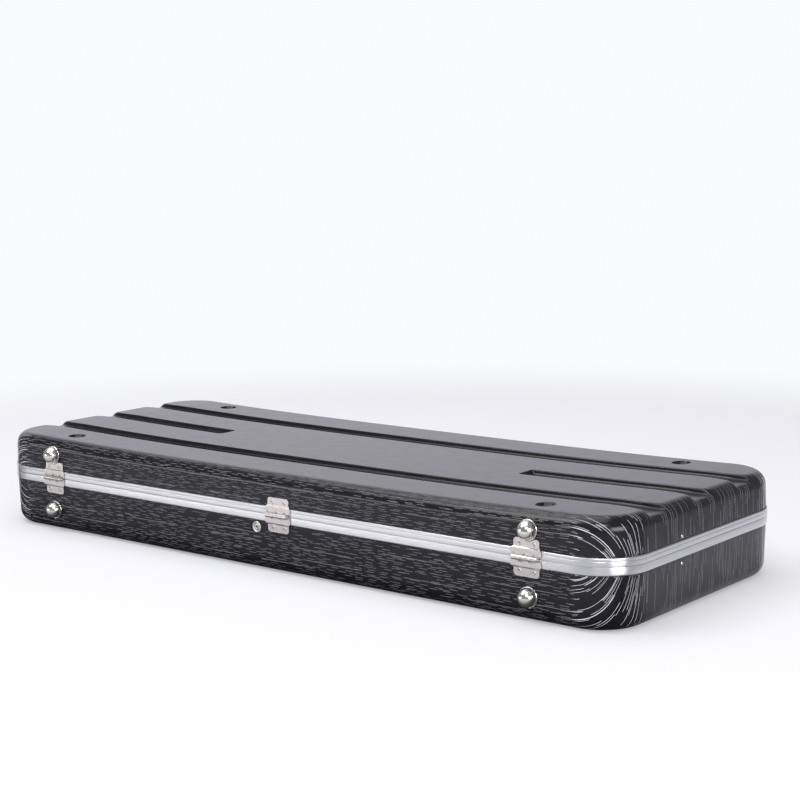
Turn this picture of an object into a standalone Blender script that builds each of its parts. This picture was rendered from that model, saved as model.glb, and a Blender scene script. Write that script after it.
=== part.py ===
"""Electric guitar case: two vacuum formed shells with aluminium rims, hinges, domed bumpers, draw latches,
a carrying handle and a padded, lined inside.

The case lies closed on its underside. +X runs along its length, -Y is the hinge side, +Y the latch side,
and +Z is up. The origin is the middle of the underside. Lengths are in metres.
"""

import math

import bmesh
import bpy
import numpy as np
from mathutils import Matrix, Vector

# Case
CASE_LENGTH = 1.042
CASE_WIDTH = 0.388
BASE_HEIGHT = 0.076
LID_HEIGHT = 0.055
CORNER_RADIUS = 0.061
LID_EDGE_RADIUS = 0.017
BASE_EDGE_RADIUS = 0.018
WALL = 0.003
DRAFT_DEG = 1.8
STRAIGHT_EDGE = 0.012
PANEL_SAG = 0.004

# Panel grooves and stacking dimples
GROOVE_WIDTH = 0.032
GROOVE_FLOOR = 0.022
GROOVE_DEPTH = 0.006
GROOVE_PITCH = 0.100
LEFT_GROOVE_LENGTH = 0.270
RIGHT_GROOVE_LENGTH = 0.257
DIMPLE_RADIUS = 0.0125
DIMPLE_FLOOR_RADIUS = 0.0095
DIMPLE_DEPTH = 0.004
DIMPLE_FROM_END = 0.122
DIMPLE_FROM_SIDE = 0.041

# Aluminium rims
RIM_HEIGHT = 0.010
RIM_PROUD = 0.0015
RIM_LEG = 0.0014
RIM_WEB = 0.002
RIM_TONGUE = 0.004
RIM_LINE = 0.0004

# Hinges
HINGE_FROM_END = 0.120
HINGE_MIDDLE_X = 0.023
HINGE_FLANGE_WIDTH = 0.035
HINGE_BAND_WIDTH = 0.042
HINGE_REACH = 0.0222
HINGE_CORNER = 0.004
HINGE_LEAF = 0.0012
KNUCKLE_RADIUS = 0.003
KNUCKLES = 5
PIN_RADIUS = 0.0014
LEAF_RIVET_RADIUS = 0.0022
LEAF_RIVET_X = 0.010

# Bumpers, eyelet and strap rivets
BUMPER_FROM_END = 0.118
BUMPER_UP = 0.032
BUMPER_TO_HINGE = 0.0006
BUMPER_DOWN = 0.0455
BUMPER_FLANGE_RADIUS = 0.0126
BUMPER_LIP = 0.0024
BUMPER_CUP = 0.0010
DOME_RADIUS = 0.0105
DOME_STRAIGHT = 0.0030
DOME_HEIGHT = 0.0105
EYELET_TO_HINGE = 0.038
EYELET_DOWN = 0.0195
EYELET_RADIUS = 0.0072
EYELET_HOLE = 0.002
STRAP_FROM_SIDE = 0.137
STRAP_RIVET_UP = 0.0145
STRAP_RIVET_DOWN = 0.017
STRAP_RIVET_RADIUS = 0.0022

# Lid strap
LID_OPEN_DEG = 100
STRAP_WIDTH = 0.018
STRAP_THICKNESS = 0.0014
STRAP_STEPS = 20

# Inside
FOAM_TOP_DROP = 0.011
POCKET_FLOOR = 0.016
PLUSH = 0.0015
FOAM_END = 0.029
FOAM_SIDE = 0.029
POCKET_BODY_LENGTH = 0.435
POCKET_WAIST = 0.128
POCKET_UPPER_BOUT = 0.150
POCKET_NECK = 0.046
POCKET_HEAD = 0.068
POCKET_HEAD_LENGTH = 0.230
LID_FOAM_RISE = 0.010
LID_FOAM_THICKNESS = 0.015
LID_FOAM_SIDE = 0.016
LID_FOAM_STRIPS = (
    ("lid_foam_front", True, -1),
    ("lid_foam_back", True, 1),
    ("lid_foam_left", False, -1),
    ("lid_foam_right", False, 1),
)
MITRE_DEPTH = 0.090
LID_POCKET_RADIUS = 0.040
STRAP_SLOT_DEPTH = 0.009
CRADLE_LENGTH = 0.060
CRADLE_HEIGHT = 0.034
CRADLE_NOTCH = 0.029
CRADLE_GAP_TO_HEAD = 0.030
CRADLE_SIDE_GAP = 0.002

# Accessory box
BOX_LENGTH = 0.220
BOX_WIDTH = 0.100
BOX_DEPTH = 0.046
BOX_WALL = 0.003
BOX_SIDE_GAP = 0.018
BOX_END_GAP = 0.050
COVER_THICKNESS = 0.004
COVER_LEDGE = 0.004
TAB_WIDTH = 0.016
TAB_LENGTH = 0.024

# Draw latches
LATCH_FROM_END = 0.121
LATCH_TO_HANDLE = 0.093
LATCH_PLATE_WIDTH = 0.034
LATCH_PLATE_LENGTH = 0.036
LATCH_SHEET = 0.0012
LATCH_EAR = 0.0096
LATCH_EAR_LENGTH = 0.009
LEVER_WIDTH = 0.0156
LEVER_FINGER_WIDTH = 0.0196
LEVER_LENGTH = 0.032
LEVER_PIVOT_OUT = 0.0076
LEVER_PIVOT_DOWN = 0.015
LEVER_PIN_RADIUS = 0.0012
BAIL_ARM_IN = 0.0015
BAIL_ARM_DOWN = 0.008
BAIL_WIRE = 0.0013
BAIL_HALF_WIDTH = 0.0118
BAIL_BAR_OUT = 0.0055
BAIL_BAR_UP = 0.0073
KEEPER_WIDTH = 0.028
KEEPER_REACH = 0.027
KEEPER_SEAT_GAP = 0.001
KEEPER_LIP = 0.0003

# Carrying handle
HANDLE_HALF_SPAN = 0.072
HANDLE_PIVOT_DOWN = 0.022
HANDLE_PIVOT_OUT = 0.009
HANDLE_DROP = 0.030
HANDLE_GRIP_RADIUS_OUT = 0.008
HANDLE_GRIP_RADIUS_UP = 0.011
HANDLE_ARM_WIDTH = 0.010
HANDLE_PIN_RADIUS = 0.0025
BRACKET_WIDTH = 0.028
BRACKET_LENGTH = 0.030
BRACKET_SHEET = 0.0016

# Clearances
GAP = 0.0003
RUNNING_GAP = 0.0002
CORNER_STEPS = 8
EDGE_STEPS = 9
FILLET_STEPS = 4
ROUND_STEPS = 16
KNUCKLE_STEPS = 12

# Derived places
HALF_LENGTH = CASE_LENGTH / 2
HALF_WIDTH = CASE_WIDTH / 2
PARTING = BASE_HEIGHT
TOP = BASE_HEIGHT + LID_HEIGHT
STRAP_Y = STRAP_FROM_SIDE - HALF_WIDTH
DRAFT = math.tan(math.radians(DRAFT_DEG))
FOAM_TOP = PARTING - FOAM_TOP_DROP
LINING_TOP = FOAM_TOP + GAP + PLUSH
PIN_OUT = RIM_PROUD + GAP + KNUCKLE_RADIUS

COLOURS = {
    "black_abs": ((0.022, 0.022, 0.025), 0.30, 0.0),
    "aluminium": ((0.80, 0.80, 0.82), 0.28, 1.0),
    "nickel": ((0.72, 0.68, 0.65), 0.25, 1.0),
    "bright_nickel": ((0.82, 0.81, 0.80), 0.08, 1.0),
    "steel_pin": ((0.60, 0.58, 0.56), 0.30, 1.0),
    "foam": ((0.60, 0.60, 0.58), 0.95, 0.0),
    "plush": ((0.030, 0.030, 0.034), 0.95, 0.0),
    "webbing": ((0.020, 0.020, 0.022), 0.85, 0.0),
    "box_board": ((0.045, 0.043, 0.042), 0.80, 0.0),
    "handle_rubber": ((0.028, 0.028, 0.030), 0.55, 0.0),
}


def clear_scene():
    for obj in list(bpy.data.objects):
        bpy.data.objects.remove(obj, do_unlink=True)


def material(name):
    """The Principled material of this name, made on first use."""
    found = bpy.data.materials.get(name)
    if found:
        return found
    colour, roughness, metallic = COLOURS[name]
    made = bpy.data.materials.new(name)
    made.use_nodes = True
    shader = made.node_tree.nodes["Principled BSDF"]
    shader.inputs["Base Color"].default_value = (*colour, 1.0)
    shader.inputs["Roughness"].default_value = roughness
    shader.inputs["Metallic"].default_value = metallic
    return made


def piece(name, points, faces, finish=None):
    """One object from points and faces, with its faces turned outwards."""
    mesh = bpy.data.meshes.new(name)
    mesh.from_pydata([tuple(map(float, p)) for p in points], [], faces)
    bm = bmesh.new()
    bm.from_mesh(mesh)
    bmesh.ops.recalc_face_normals(bm, faces=bm.faces)
    bm.to_mesh(mesh)
    bm.free()
    obj = bpy.data.objects.new(name, mesh)
    bpy.context.scene.collection.objects.link(obj)
    if finish:
        dress(obj, finish)
    return obj


def dress(obj, finish):
    """Gives an object its material and smooth shading with sharp creases."""
    obj.data.materials.clear()
    obj.data.materials.append(material(finish))
    obj.data.shade_smooth()
    obj.data.set_sharp_from_angle(angle=math.radians(35))


def combine(first, second, operation):
    """Joins, cuts or intersects the first shape with the second, which is used up."""
    modifier = first.modifiers.new("boolean", "BOOLEAN")
    modifier.operation = operation
    modifier.object = second
    bpy.context.view_layer.update()
    graph = bpy.context.evaluated_depsgraph_get()
    result = bpy.data.meshes.new_from_object(first.evaluated_get(graph))
    first.modifiers.clear()
    first.data = result
    bpy.data.objects.remove(second, do_unlink=True)
    return first


def set_origin(obj, point):
    """Moves an object's origin to a point and leaves its shape where it is."""
    obj.data.transform(Matrix.Translation(-Vector(point)))
    obj.location = point


def hang_on(parent, obj):
    """Parents an object to an empty and leaves it where it is."""
    obj.parent = parent
    obj.matrix_parent_inverse = Matrix.Translation(-parent.location)


def axis_empty(name, point):
    empty = bpy.data.objects.new(name, None)
    empty.location = point
    bpy.context.scene.collection.objects.link(empty)
    return empty


def loft(rings, joined=False):
    """Points and faces of a solid through rings of equal counts, capped at both ends or joined into a loop."""
    count = len(rings[0])
    faces = []
    last = len(rings) if joined else len(rings) - 1
    for i in range(last):
        here = i * count
        there = ((i + 1) % len(rings)) * count
        for k in range(count):
            n = (k + 1) % count
            faces.append((here + k, here + n, there + n, there + k))
    if not joined:
        faces.append(tuple(range(count - 1, -1, -1)))
        faces.append(tuple(range((len(rings) - 1) * count, len(rings) * count)))
    return np.concatenate(rings), faces


def prism_x(name, outline, x0, x1):
    """A (y, z) outline carried along X."""
    rings = [np.array([(x, y, z) for y, z in outline]) for x in (x0, x1)]
    return piece(name, *loft(rings))


def prism_z(name, outline, z0, z1):
    """An (x, y) outline carried up Z."""
    rings = [np.array([(x, y, z) for x, y in outline]) for z in (z0, z1)]
    return piece(name, *loft(rings))


def box(name, low, high):
    outline = [(low[0], low[1]), (high[0], low[1]), (high[0], high[1]), (low[0], high[1])]
    return prism_z(name, outline, low[2], high[2])


def turned(name, profile, steps, place, finish, ring=False):
    """A turned piece: a profile of (radius, height) points spun round Z, then moved by a matrix.

    A profile that starts and ends on the axis is closed by its two end points; a ring's profile is a loop.
    """
    angles = np.linspace(0, 2 * math.pi, steps, endpoint=False)
    rings = []
    for radius, height in profile:
        if radius > 0:
            rings.append(np.column_stack([radius * np.cos(angles), radius * np.sin(angles), np.full(steps, height)]))
    if ring:
        points, faces = loft(rings, joined=True)
    else:
        points, faces = loft(rings)
    obj = piece(name, points, faces)
    obj.data.transform(place)
    dress(obj, finish)
    return obj


def arc(centre, radius, start_deg, end_deg, steps):
    """Points on an arc in a plane."""
    angles = np.radians(np.linspace(start_deg, end_deg, steps + 1))
    return [(centre[0] + radius * math.cos(a), centre[1] + radius * math.sin(a)) for a in angles]


def long_edge_stations(radius_x):
    """Places between the corners of a long side, where the sagging panel bends."""
    return np.linspace(-radius_x, radius_x, EDGE_STEPS + 2)[1:-1]


def rounded_rectangle(half_x, half_y, radius, stations=()):
    """A rounded rectangle, anticlockwise from the start of its +X -Y corner, with extra points on the long sides."""
    points = []
    corners = ((1, -1, -90), (1, 1, 0), (-1, 1, 90), (-1, -1, 180))
    for i, (sx, sy, start) in enumerate(corners):
        centre = (sx * (half_x - radius), sy * (half_y - radius))
        points += arc(centre, radius, start, start + 90, CORNER_STEPS)
        if i == 1:
            points += [(x, half_y) for x in stations[::-1]]
        if i == 3:
            points += [(x, -half_y) for x in stations]
    return np.array(points)


def case_ring(inset, z, stations=()):
    """A level ring of the case's outline, set in by a distance from the walls at the parting line."""
    flat = rounded_rectangle(HALF_LENGTH - inset, HALF_WIDTH - inset, CORNER_RADIUS - inset, stations)
    return np.column_stack([flat, np.full(len(flat), z)])


def wall_inset(rise):
    """How far the outer wall has drawn in at a distance from the parting line."""
    return DRAFT * max(0.0, rise - STRAIGHT_EDGE)


def shell_profile(height, edge_radius, offset, edge_drop):
    """(inset, rise) points of a shell's skin from the parting edge to the panel.

    The skin lies inside the outer face by an offset. Rise is the distance from the parting line, and the
    first point stands an edge drop away from it.
    """
    radius = edge_radius - offset
    bend = height - edge_radius
    points = [(offset, edge_drop), (offset, STRAIGHT_EDGE)]
    centre = (wall_inset(bend) + edge_radius, bend)
    for inset, rise in arc(centre, radius, 180, 90, FILLET_STEPS):
        points.append((inset, rise))
    return points


def shell_rings(height, edge_radius, offset, edge_drop, up, stations=(), sag=None):
    """Rings of a shell's skin, from the edge to the panel. Up is 1 for the lid and -1 for the base."""
    rings = []
    for inset, rise in shell_profile(height, edge_radius, offset, edge_drop):
        ring = case_ring(inset, PARTING + up * rise, stations)
        if sag is not None and rise > STRAIGHT_EDGE + GAP:
            ring[:, 2] -= sag(ring[:, 0])
        rings.append(ring)
    return rings


def base_shell():
    drop = RIM_WEB + 2 * GAP
    outer = shell_rings(BASE_HEIGHT, BASE_EDGE_RADIUS, 0.0, drop, -1)
    inner = shell_rings(BASE_HEIGHT, BASE_EDGE_RADIUS, WALL, drop, -1)
    return piece("base_shell", *loft(outer[::-1] + inner), "black_abs")


def panel_sag(x):
    """How far the thin lid panel sags between its stiff ends."""
    reach = HALF_LENGTH - CORNER_RADIUS
    return PANEL_SAG * np.clip(1 - np.abs(np.asarray(x) / reach) ** 3, 0, None)


def strip_cap(start, flip):
    """Faces that close a ring with long side points: one face at each end, and strips between."""
    per = CORNER_STEPS + 1
    right = list(range(0, 2 * per))
    back = list(range(2 * per, 2 * per + EDGE_STEPS))
    left = list(range(2 * per + EDGE_STEPS, 4 * per + EDGE_STEPS))
    front = list(range(4 * per + EDGE_STEPS, 4 * per + 2 * EDGE_STEPS))
    back = [right[-1], *back, left[0]]
    front = [right[0], *front[::-1], left[-1]]
    faces = [tuple(right), tuple(left)]
    for i in range(len(back) - 1):
        faces.append((front[i], back[i], back[i + 1], front[i + 1]))
    moved = [tuple(start + k for k in face) for face in faces]
    return [face[::-1] for face in moved] if flip else moved


def sagging_solid(name, rings):
    """A solid through rings whose two end caps follow the sagging panel."""
    points, faces = loft(rings)
    faces = faces[:-2]
    count = len(rings[0])
    faces += strip_cap(0, True)
    faces += strip_cap((len(rings) - 1) * count, False)
    return piece(name, points, faces)


def groove_sections(x0, x1, y, grow):
    """Trapezium sections of a groove's cutter that follow the sagging panel. Grow is the wall left round it."""
    stops = [x for x in long_edge_stations(HALF_LENGTH - CORNER_RADIUS) if x0 < x < x1]
    over = 0.02
    rings = []
    slope = (GROOVE_WIDTH - GROOVE_FLOOR) / 2 / GROOVE_DEPTH
    for x in [x0, *stops, x1]:
        level = TOP - float(panel_sag(x))
        half_floor = GROOVE_FLOOR / 2 + grow
        half_top = half_floor + slope * (GROOVE_DEPTH + grow + over)
        low = level - GROOVE_DEPTH - grow
        high = level + over
        section = [(y - half_floor, low), (y + half_floor, low), (y + half_top, high), (y - half_top, high)]
        rings.append(np.array([(x, *point) for point in section]))
    return rings


def grooves(grow):
    """All groove and dimple cutters, as a list of shapes."""
    past = HALF_LENGTH + 0.03
    runs = [(-past, past, -GROOVE_PITCH), (-past, past, GROOVE_PITCH)]
    runs += [(-past, LEFT_GROOVE_LENGTH - HALF_LENGTH + grow, 0.0)]
    runs += [(HALF_LENGTH - RIGHT_GROOVE_LENGTH - grow, past, 0.0)]
    cutters = [piece("groove_cutter", *loft(groove_sections(x0, x1, y, grow))) for x0, x1, y in runs]
    for sx in (-1, 1):
        for sy in (-1, 1):
            x = sx * (HALF_LENGTH - DIMPLE_FROM_END)
            y = sy * (HALF_WIDTH - DIMPLE_FROM_SIDE)
            cutters.append(dimple_cutter(x, y, grow))
    return cutters


def dimple_cutter(x, y, grow):
    """A short cone for a stacking dimple, with the wall left round it."""
    level = TOP - float(panel_sag(x))
    angles = np.linspace(0, 2 * math.pi, ROUND_STEPS, endpoint=False)
    slope = (DIMPLE_RADIUS - DIMPLE_FLOOR_RADIUS) / DIMPLE_DEPTH
    over = 0.004
    stops = [
        (DIMPLE_FLOOR_RADIUS + grow, level - DIMPLE_DEPTH - grow),
        (DIMPLE_RADIUS + grow + slope * over, level + over),
    ]
    rings = []
    for r, z in stops:
        rings.append(np.column_stack([x + r * np.cos(angles), y + r * np.sin(angles), np.full(ROUND_STEPS, z)]))
    return piece("dimple_cutter", *loft(rings))


def lid_shell():
    """The lid: its grooves and dimples show on the panel and stand out inside it by the same wall."""
    drop = RIM_WEB + 2 * GAP
    stations = long_edge_stations(HALF_LENGTH - CORNER_RADIUS)
    outer = sagging_solid("lid_shell", shell_rings(LID_HEIGHT, LID_EDGE_RADIUS, 0.0, drop, 1, stations, panel_sag))
    inner_rings = shell_rings(LID_HEIGHT, LID_EDGE_RADIUS, WALL, -drop, 1, stations, panel_sag)
    inner = sagging_solid("lid_hollow", inner_rings)
    for cutter in grooves(0.0):
        combine(outer, cutter, "DIFFERENCE")
    for cutter in grooves(WALL):
        combine(inner, cutter, "DIFFERENCE")
    combine(outer, inner, "DIFFERENCE")
    dress(outer, "black_abs")
    return outer


def rim(name, profile):
    """A rim extrusion: (out, z) profile points carried round the case's outline as one frame."""
    rings = []
    for out, z in profile:
        flat = rounded_rectangle(HALF_LENGTH + out, HALF_WIDTH + out, CORNER_RADIUS + out)
        rings.append(np.column_stack([flat, np.full(len(flat), z)]))
    return piece(name, *loft(rings, joined=True), "aluminium")


def rim_legs():
    """Where the rim's legs stand, outwards from the case's outer wall."""
    outer_in = GAP
    inner_out = -(WALL + GAP)
    return outer_in, inner_out, inner_out - RIM_LEG


def tongue_legs():
    """Where the lower rim's tongue stands, inside the rim's inner legs."""
    out = rim_legs()[2] - GAP
    return out, out - RIM_LEG


def base_rim():
    """The lower extrusion: a channel over the shell's edge, with a tongue inside that the lid closes over."""
    outer_in, inner_out, inner_in = rim_legs()
    tongue_out, tongue_in = tongue_legs()
    face = PARTING - GAP / 2
    profile = [
        (outer_in, PARTING - RIM_HEIGHT),
        (RIM_PROUD, PARTING - RIM_HEIGHT),
        (RIM_PROUD, face),
        (tongue_out, face),
        (tongue_out, PARTING + RIM_TONGUE),
        (tongue_in, PARTING + RIM_TONGUE),
        (tongue_in, face - RIM_WEB),
        (inner_in, face - RIM_WEB),
        (inner_in, PARTING - RIM_HEIGHT + RIM_WEB),
        (inner_out, PARTING - RIM_HEIGHT + RIM_WEB),
        (inner_out, face - RIM_WEB),
        (outer_in, face - RIM_WEB),
    ]
    return rim("base_rim", profile)


def lid_rim():
    """The upper extrusion: a channel over the lid's edge, with a fine line along its outer face."""
    outer_in, inner_out, inner_in = rim_legs()
    face = PARTING + GAP / 2
    line = PARTING + RIM_HEIGHT * 0.6
    profile = [
        (outer_in, PARTING + RIM_HEIGHT),
        (RIM_PROUD, PARTING + RIM_HEIGHT),
        (RIM_PROUD, line + RIM_LINE),
        (RIM_PROUD - RIM_LINE, line),
        (RIM_PROUD, line - RIM_LINE),
        (RIM_PROUD, face),
        (inner_in, face),
        (inner_in, PARTING + RIM_HEIGHT - RIM_WEB),
        (inner_out, PARTING + RIM_HEIGHT - RIM_WEB),
        (inner_out, face + RIM_WEB),
        (outer_in, face + RIM_WEB),
    ]
    return rim("lid_rim", profile)


def wall_point(side, out, rise):
    """(y, z) of a point that stands out from a long wall, on the drafted face there."""
    reach = HALF_WIDTH - wall_inset(abs(rise)) + out
    return side * reach, PARTING + rise


def hinge_flange_profile(up):
    """(y, z) outline of a leaf from its riveted flange to its band plate."""
    flange_in = GAP
    flange_out = GAP + HINGE_LEAF
    band_in = RIM_PROUD + GAP
    band_out = band_in + HINGE_LEAF
    step = RIM_HEIGHT + GAP
    lean = wall_inset(HINGE_REACH)
    root = KNUCKLE_RADIUS
    outline = [
        (flange_in - lean, HINGE_REACH),
        (flange_in, step),
        (band_in, step),
        (band_in, root),
        (band_out, root),
        (band_out, step + HINGE_LEAF),
        (flange_out, step + HINGE_LEAF),
        (flange_out - lean, HINGE_REACH),
    ]
    return [(-(HALF_WIDTH + out), PARTING + up * rise) for out, rise in outline]


def knuckle_profile():
    """A knuckle's ring round the pin, as outer and inner circles."""
    return KNUCKLE_RADIUS, PIN_RADIUS + RUNNING_GAP


def knuckle(x0, x1):
    """One knuckle: a tube along X round the hinge's pin."""
    outer, inner = knuckle_profile()
    angles = np.linspace(0, 2 * math.pi, KNUCKLE_STEPS, endpoint=False)
    rings = []
    for x, radius in ((x0, inner), (x0, outer), (x1, outer), (x1, inner)):
        y = -(HALF_WIDTH + PIN_OUT) + radius * np.cos(angles)
        z = PARTING + radius * np.sin(angles)
        rings.append(np.column_stack([np.full(KNUCKLE_STEPS, x), y, z]))
    return piece("knuckle", *loft(rings, joined=True))


def leaf_tongue(x0, x1, up):
    """The strip of band plate that runs into one knuckle."""
    band_in = RIM_PROUD + GAP
    outer, inner = knuckle_profile()
    low = 0.0
    high = KNUCKLE_RADIUS + HINGE_LEAF
    root = band_in + (outer - inner) * 0.8
    outline = [(band_in, low), (root, low), (root, high), (band_in, high)]
    outline = [(-(HALF_WIDTH + out), PARTING + up * rise) for out, rise in outline]
    return prism_x("leaf_tongue", outline, x0, x1)


def rivet_head(name, centre, radius, side, lean_deg, steps=8):
    """A low domed rivet head that faces outwards on a long wall."""
    profile = [(radius, 0.0), (radius, 0.0004), (radius * 0.7, 0.0009), (radius * 0.3, 0.0011)]
    place = Matrix.Translation(centre) @ Matrix.Rotation(math.radians(-90 * side + lean_deg), 4, "X")
    return turned(name, profile, steps, place, "nickel")


def wall_lean(side, rise):
    """The turn, in degrees about X, that lays a piece on the drafted wall above or below the parting line."""
    return side * math.copysign(DRAFT_DEG, rise)


def leaf_silhouette(up):
    """(x, z) outline of a leaf seen from the front: round cornered flange, then the wider plate on the rim."""
    flange = HINGE_FLANGE_WIDTH / 2
    band = HINGE_BAND_WIDTH / 2
    step = RIM_HEIGHT - 2 * GAP
    centre = flange - HINGE_CORNER
    right = [(flange, 0.0), (flange, KNUCKLE_RADIUS), (band, KNUCKLE_RADIUS), (band, step)]
    right += [(flange, step + band - flange)]
    right += arc((centre, HINGE_REACH - HINGE_CORNER), HINGE_CORNER, 0, 90, 3)
    outline = right + [(-x, z) for x, z in right[::-1]]
    return [(x, PARTING + up * (z if z > 0 else -2 * KNUCKLE_RADIUS)) for x, z in outline]


def prism_y(name, outline, y0, y1):
    """An (x, z) outline carried along Y."""
    rings = [np.array([(x, y, z) for x, z in outline]) for y in (y0, y1)]
    return piece(name, *loft(rings))


def bumper_notch(x, rise):
    """A round cutter that clears a bumper's cup out of a hinge leaf's edge."""
    outline = arc((x, PARTING + rise), BUMPER_FLANGE_RADIUS + BUMPER_TO_HINGE, 0, 360, 4 * CORNER_STEPS)[:-1]
    return prism_y("bumper_notch", outline, -(HALF_WIDTH + 2 * PIN_OUT), -(HALF_WIDTH - PIN_OUT))


def hinge_leaf(name, x, up, notch_x=None):
    """One stamped leaf: flange on the shell, step over the rim and rolled knuckles at the parting line.

    A leaf under a bumper has a round notch in its edge for the bumper's cup.
    """
    half_flange = HINGE_FLANGE_WIDTH / 2
    half_band = HINGE_BAND_WIDTH / 2
    leaf = prism_x(name, hinge_flange_profile(up), x - half_band, x + half_band)
    outline = [(x + dx, z) for dx, z in leaf_silhouette(up)]
    front = -(HALF_WIDTH + 2 * PIN_OUT)
    combine(leaf, prism_y("silhouette", outline, front, -(HALF_WIDTH - PIN_OUT)), "INTERSECT")
    if notch_x is not None:
        combine(leaf, bumper_notch(notch_x, BUMPER_UP), "DIFFERENCE")
    pitch = HINGE_FLANGE_WIDTH / KNUCKLES
    first = 1 if up > 0 else 0
    for k in range(first, KNUCKLES, 2):
        x0 = x - half_flange + k * pitch + GAP / 2
        x1 = x0 + pitch - GAP
        combine(leaf, leaf_tongue(x0, x1, up), "UNION")
        combine(leaf, knuckle(x0, x1), "UNION")
    for side in (-1, 1):
        rise = up * (HINGE_REACH + RIM_HEIGHT) / 2
        y, z = wall_point(-1, HINGE_LEAF, rise)
        centre = (x + side * LEAF_RIVET_X, y, z)
        combine(leaf, rivet_head("rivet", centre, LEAF_RIVET_RADIUS, -1, wall_lean(-1, rise)), "UNION")
    dress(leaf, "nickel")
    return leaf


def hinge_pin(name, x):
    reach = HINGE_FLANGE_WIDTH / 2 + 0.0008
    place = Matrix.Translation((x, -(HALF_WIDTH + PIN_OUT), PARTING)) @ Matrix.Rotation(math.radians(90), 4, "Y")
    profile = [(PIN_RADIUS, -reach), (PIN_RADIUS, reach)]
    return turned(name, profile, 12, place, "steel_pin")


def bumper(name, x, rise):
    """A domed bumper: a round cup with a raised lip on the wall, and a polished dome in it."""
    profile = [
        (BUMPER_FLANGE_RADIUS - 0.0004, GAP),
        (BUMPER_FLANGE_RADIUS, GAP + 0.0005),
        (BUMPER_FLANGE_RADIUS, GAP + BUMPER_LIP - 0.0004),
        (BUMPER_FLANGE_RADIUS - 0.0006, GAP + BUMPER_LIP),
        (DOME_RADIUS + 0.0006, GAP + BUMPER_CUP),
        (DOME_RADIUS - 0.0006, GAP + BUMPER_CUP),
        (DOME_RADIUS, GAP + BUMPER_LIP),
    ]
    for a in np.linspace(0, 78, 5):
        radius = DOME_RADIUS * math.cos(math.radians(a))
        height = GAP + BUMPER_LIP + DOME_STRAIGHT + DOME_HEIGHT * math.sin(math.radians(a))
        profile.append((radius, height))
    y, z = wall_point(-1, 0.0, rise)
    lean = wall_lean(-1, rise)
    place = Matrix.Translation((x, y, z)) @ Matrix.Rotation(math.radians(90 + lean), 4, "X")
    return turned(name, profile, ROUND_STEPS, place, "bright_nickel")


def wall_eyelet():
    """The small round eyelet in the base's hinge side."""
    profile = [
        (EYELET_HOLE, GAP),
        (EYELET_RADIUS, GAP),
        (EYELET_RADIUS, GAP + 0.0006),
        (EYELET_RADIUS * 0.9, GAP + 0.0010),
        (EYELET_HOLE * 1.7, GAP + 0.0012),
        (EYELET_HOLE, GAP + 0.0006),
    ]
    y, z = wall_point(-1, 0.0, -EYELET_DOWN)
    lean = wall_lean(-1, -EYELET_DOWN)
    x = HINGE_MIDDLE_X - EYELET_TO_HINGE
    place = Matrix.Translation((x, y, z)) @ Matrix.Rotation(math.radians(90 + lean), 4, "X")
    return turned("wall_eyelet", profile, ROUND_STEPS, place, "nickel", ring=True)


def strap_rivet(name, rise):
    """A rivet head on the right end wall, where the lid strap is fixed inside."""
    radius = STRAP_RIVET_RADIUS
    profile = [(radius, GAP), (radius, GAP + 0.0004), (radius * 0.7, GAP + 0.0010), (radius * 0.3, GAP + 0.0013)]
    x = HALF_LENGTH - wall_inset(abs(rise))
    lean = -math.copysign(DRAFT_DEG, rise)
    place = Matrix.Translation((x, STRAP_Y, PARTING + rise)) @ Matrix.Rotation(math.radians(90 + lean), 4, "Y")
    return turned(name, profile, 10, place, "bright_nickel")


def strap_rest_angle(radius, opened, low, high, swing):
    """The rest angle of a strap point about the hinge, from its angle with the lid open.

    A point at rest height z turns by the share w of the lid's swing, where w rises smoothly from 0 to 1
    between the two rivets. The rest angle solves rest + swing * w(radius * sin(rest)) = opened, by halving.
    """
    a = np.full_like(radius, -math.pi / 2)
    b = np.full_like(radius, math.pi / 2)
    for _ in range(50):
        middle = (a + b) / 2
        t = np.clip((radius * np.sin(middle) - low) / (high - low), 0, 1)
        turned_by = middle + swing * t * t * (3 - 2 * t)
        a = np.where(turned_by < opened, middle, a)
        b = np.where(turned_by < opened, b, middle)
    return (a + b) / 2


def lid_strap():
    """The webbing that stops the lid. It is straight with the lid open, and lies in a bow with the lid shut."""
    axis_y, axis_z = -(HALF_WIDTH + PIN_OUT), PARTING
    low, high = -STRAP_RIVET_DOWN, STRAP_RIVET_UP
    swing = math.radians(LID_OPEN_DEG)
    start = np.array([STRAP_Y - axis_y, low])
    shut = np.array([STRAP_Y - axis_y, high])
    turn = np.array([[math.cos(swing), -math.sin(swing)], [math.sin(swing), math.cos(swing)]])
    end = turn @ shut
    along = (end - start) / np.linalg.norm(end - start)
    across = np.array([-along[1], along[0]])
    share = np.linspace(0, 1, STRAP_STEPS + 1)
    x1 = HALF_LENGTH + tongue_legs()[1] - 2 * GAP
    x0 = x1 - STRAP_THICKNESS
    sides = []
    for side in (-1, 1):
        opened = start + np.outer(share, end - start) + side * across * STRAP_WIDTH / 2
        radius = np.hypot(opened[:, 0], opened[:, 1])
        angle = strap_rest_angle(radius, np.arctan2(opened[:, 1], opened[:, 0]), low, high, swing)
        sides.append(np.column_stack([axis_y + radius * np.cos(angle), axis_z + radius * np.sin(angle)]))
    rings = []
    for near, far in zip(*sides):
        rings.append(np.array([(x0, *near), (x1, *near), (x1, *far), (x0, *far)]))
    return piece("lid_strap", *loft(rings), "webbing")


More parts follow.
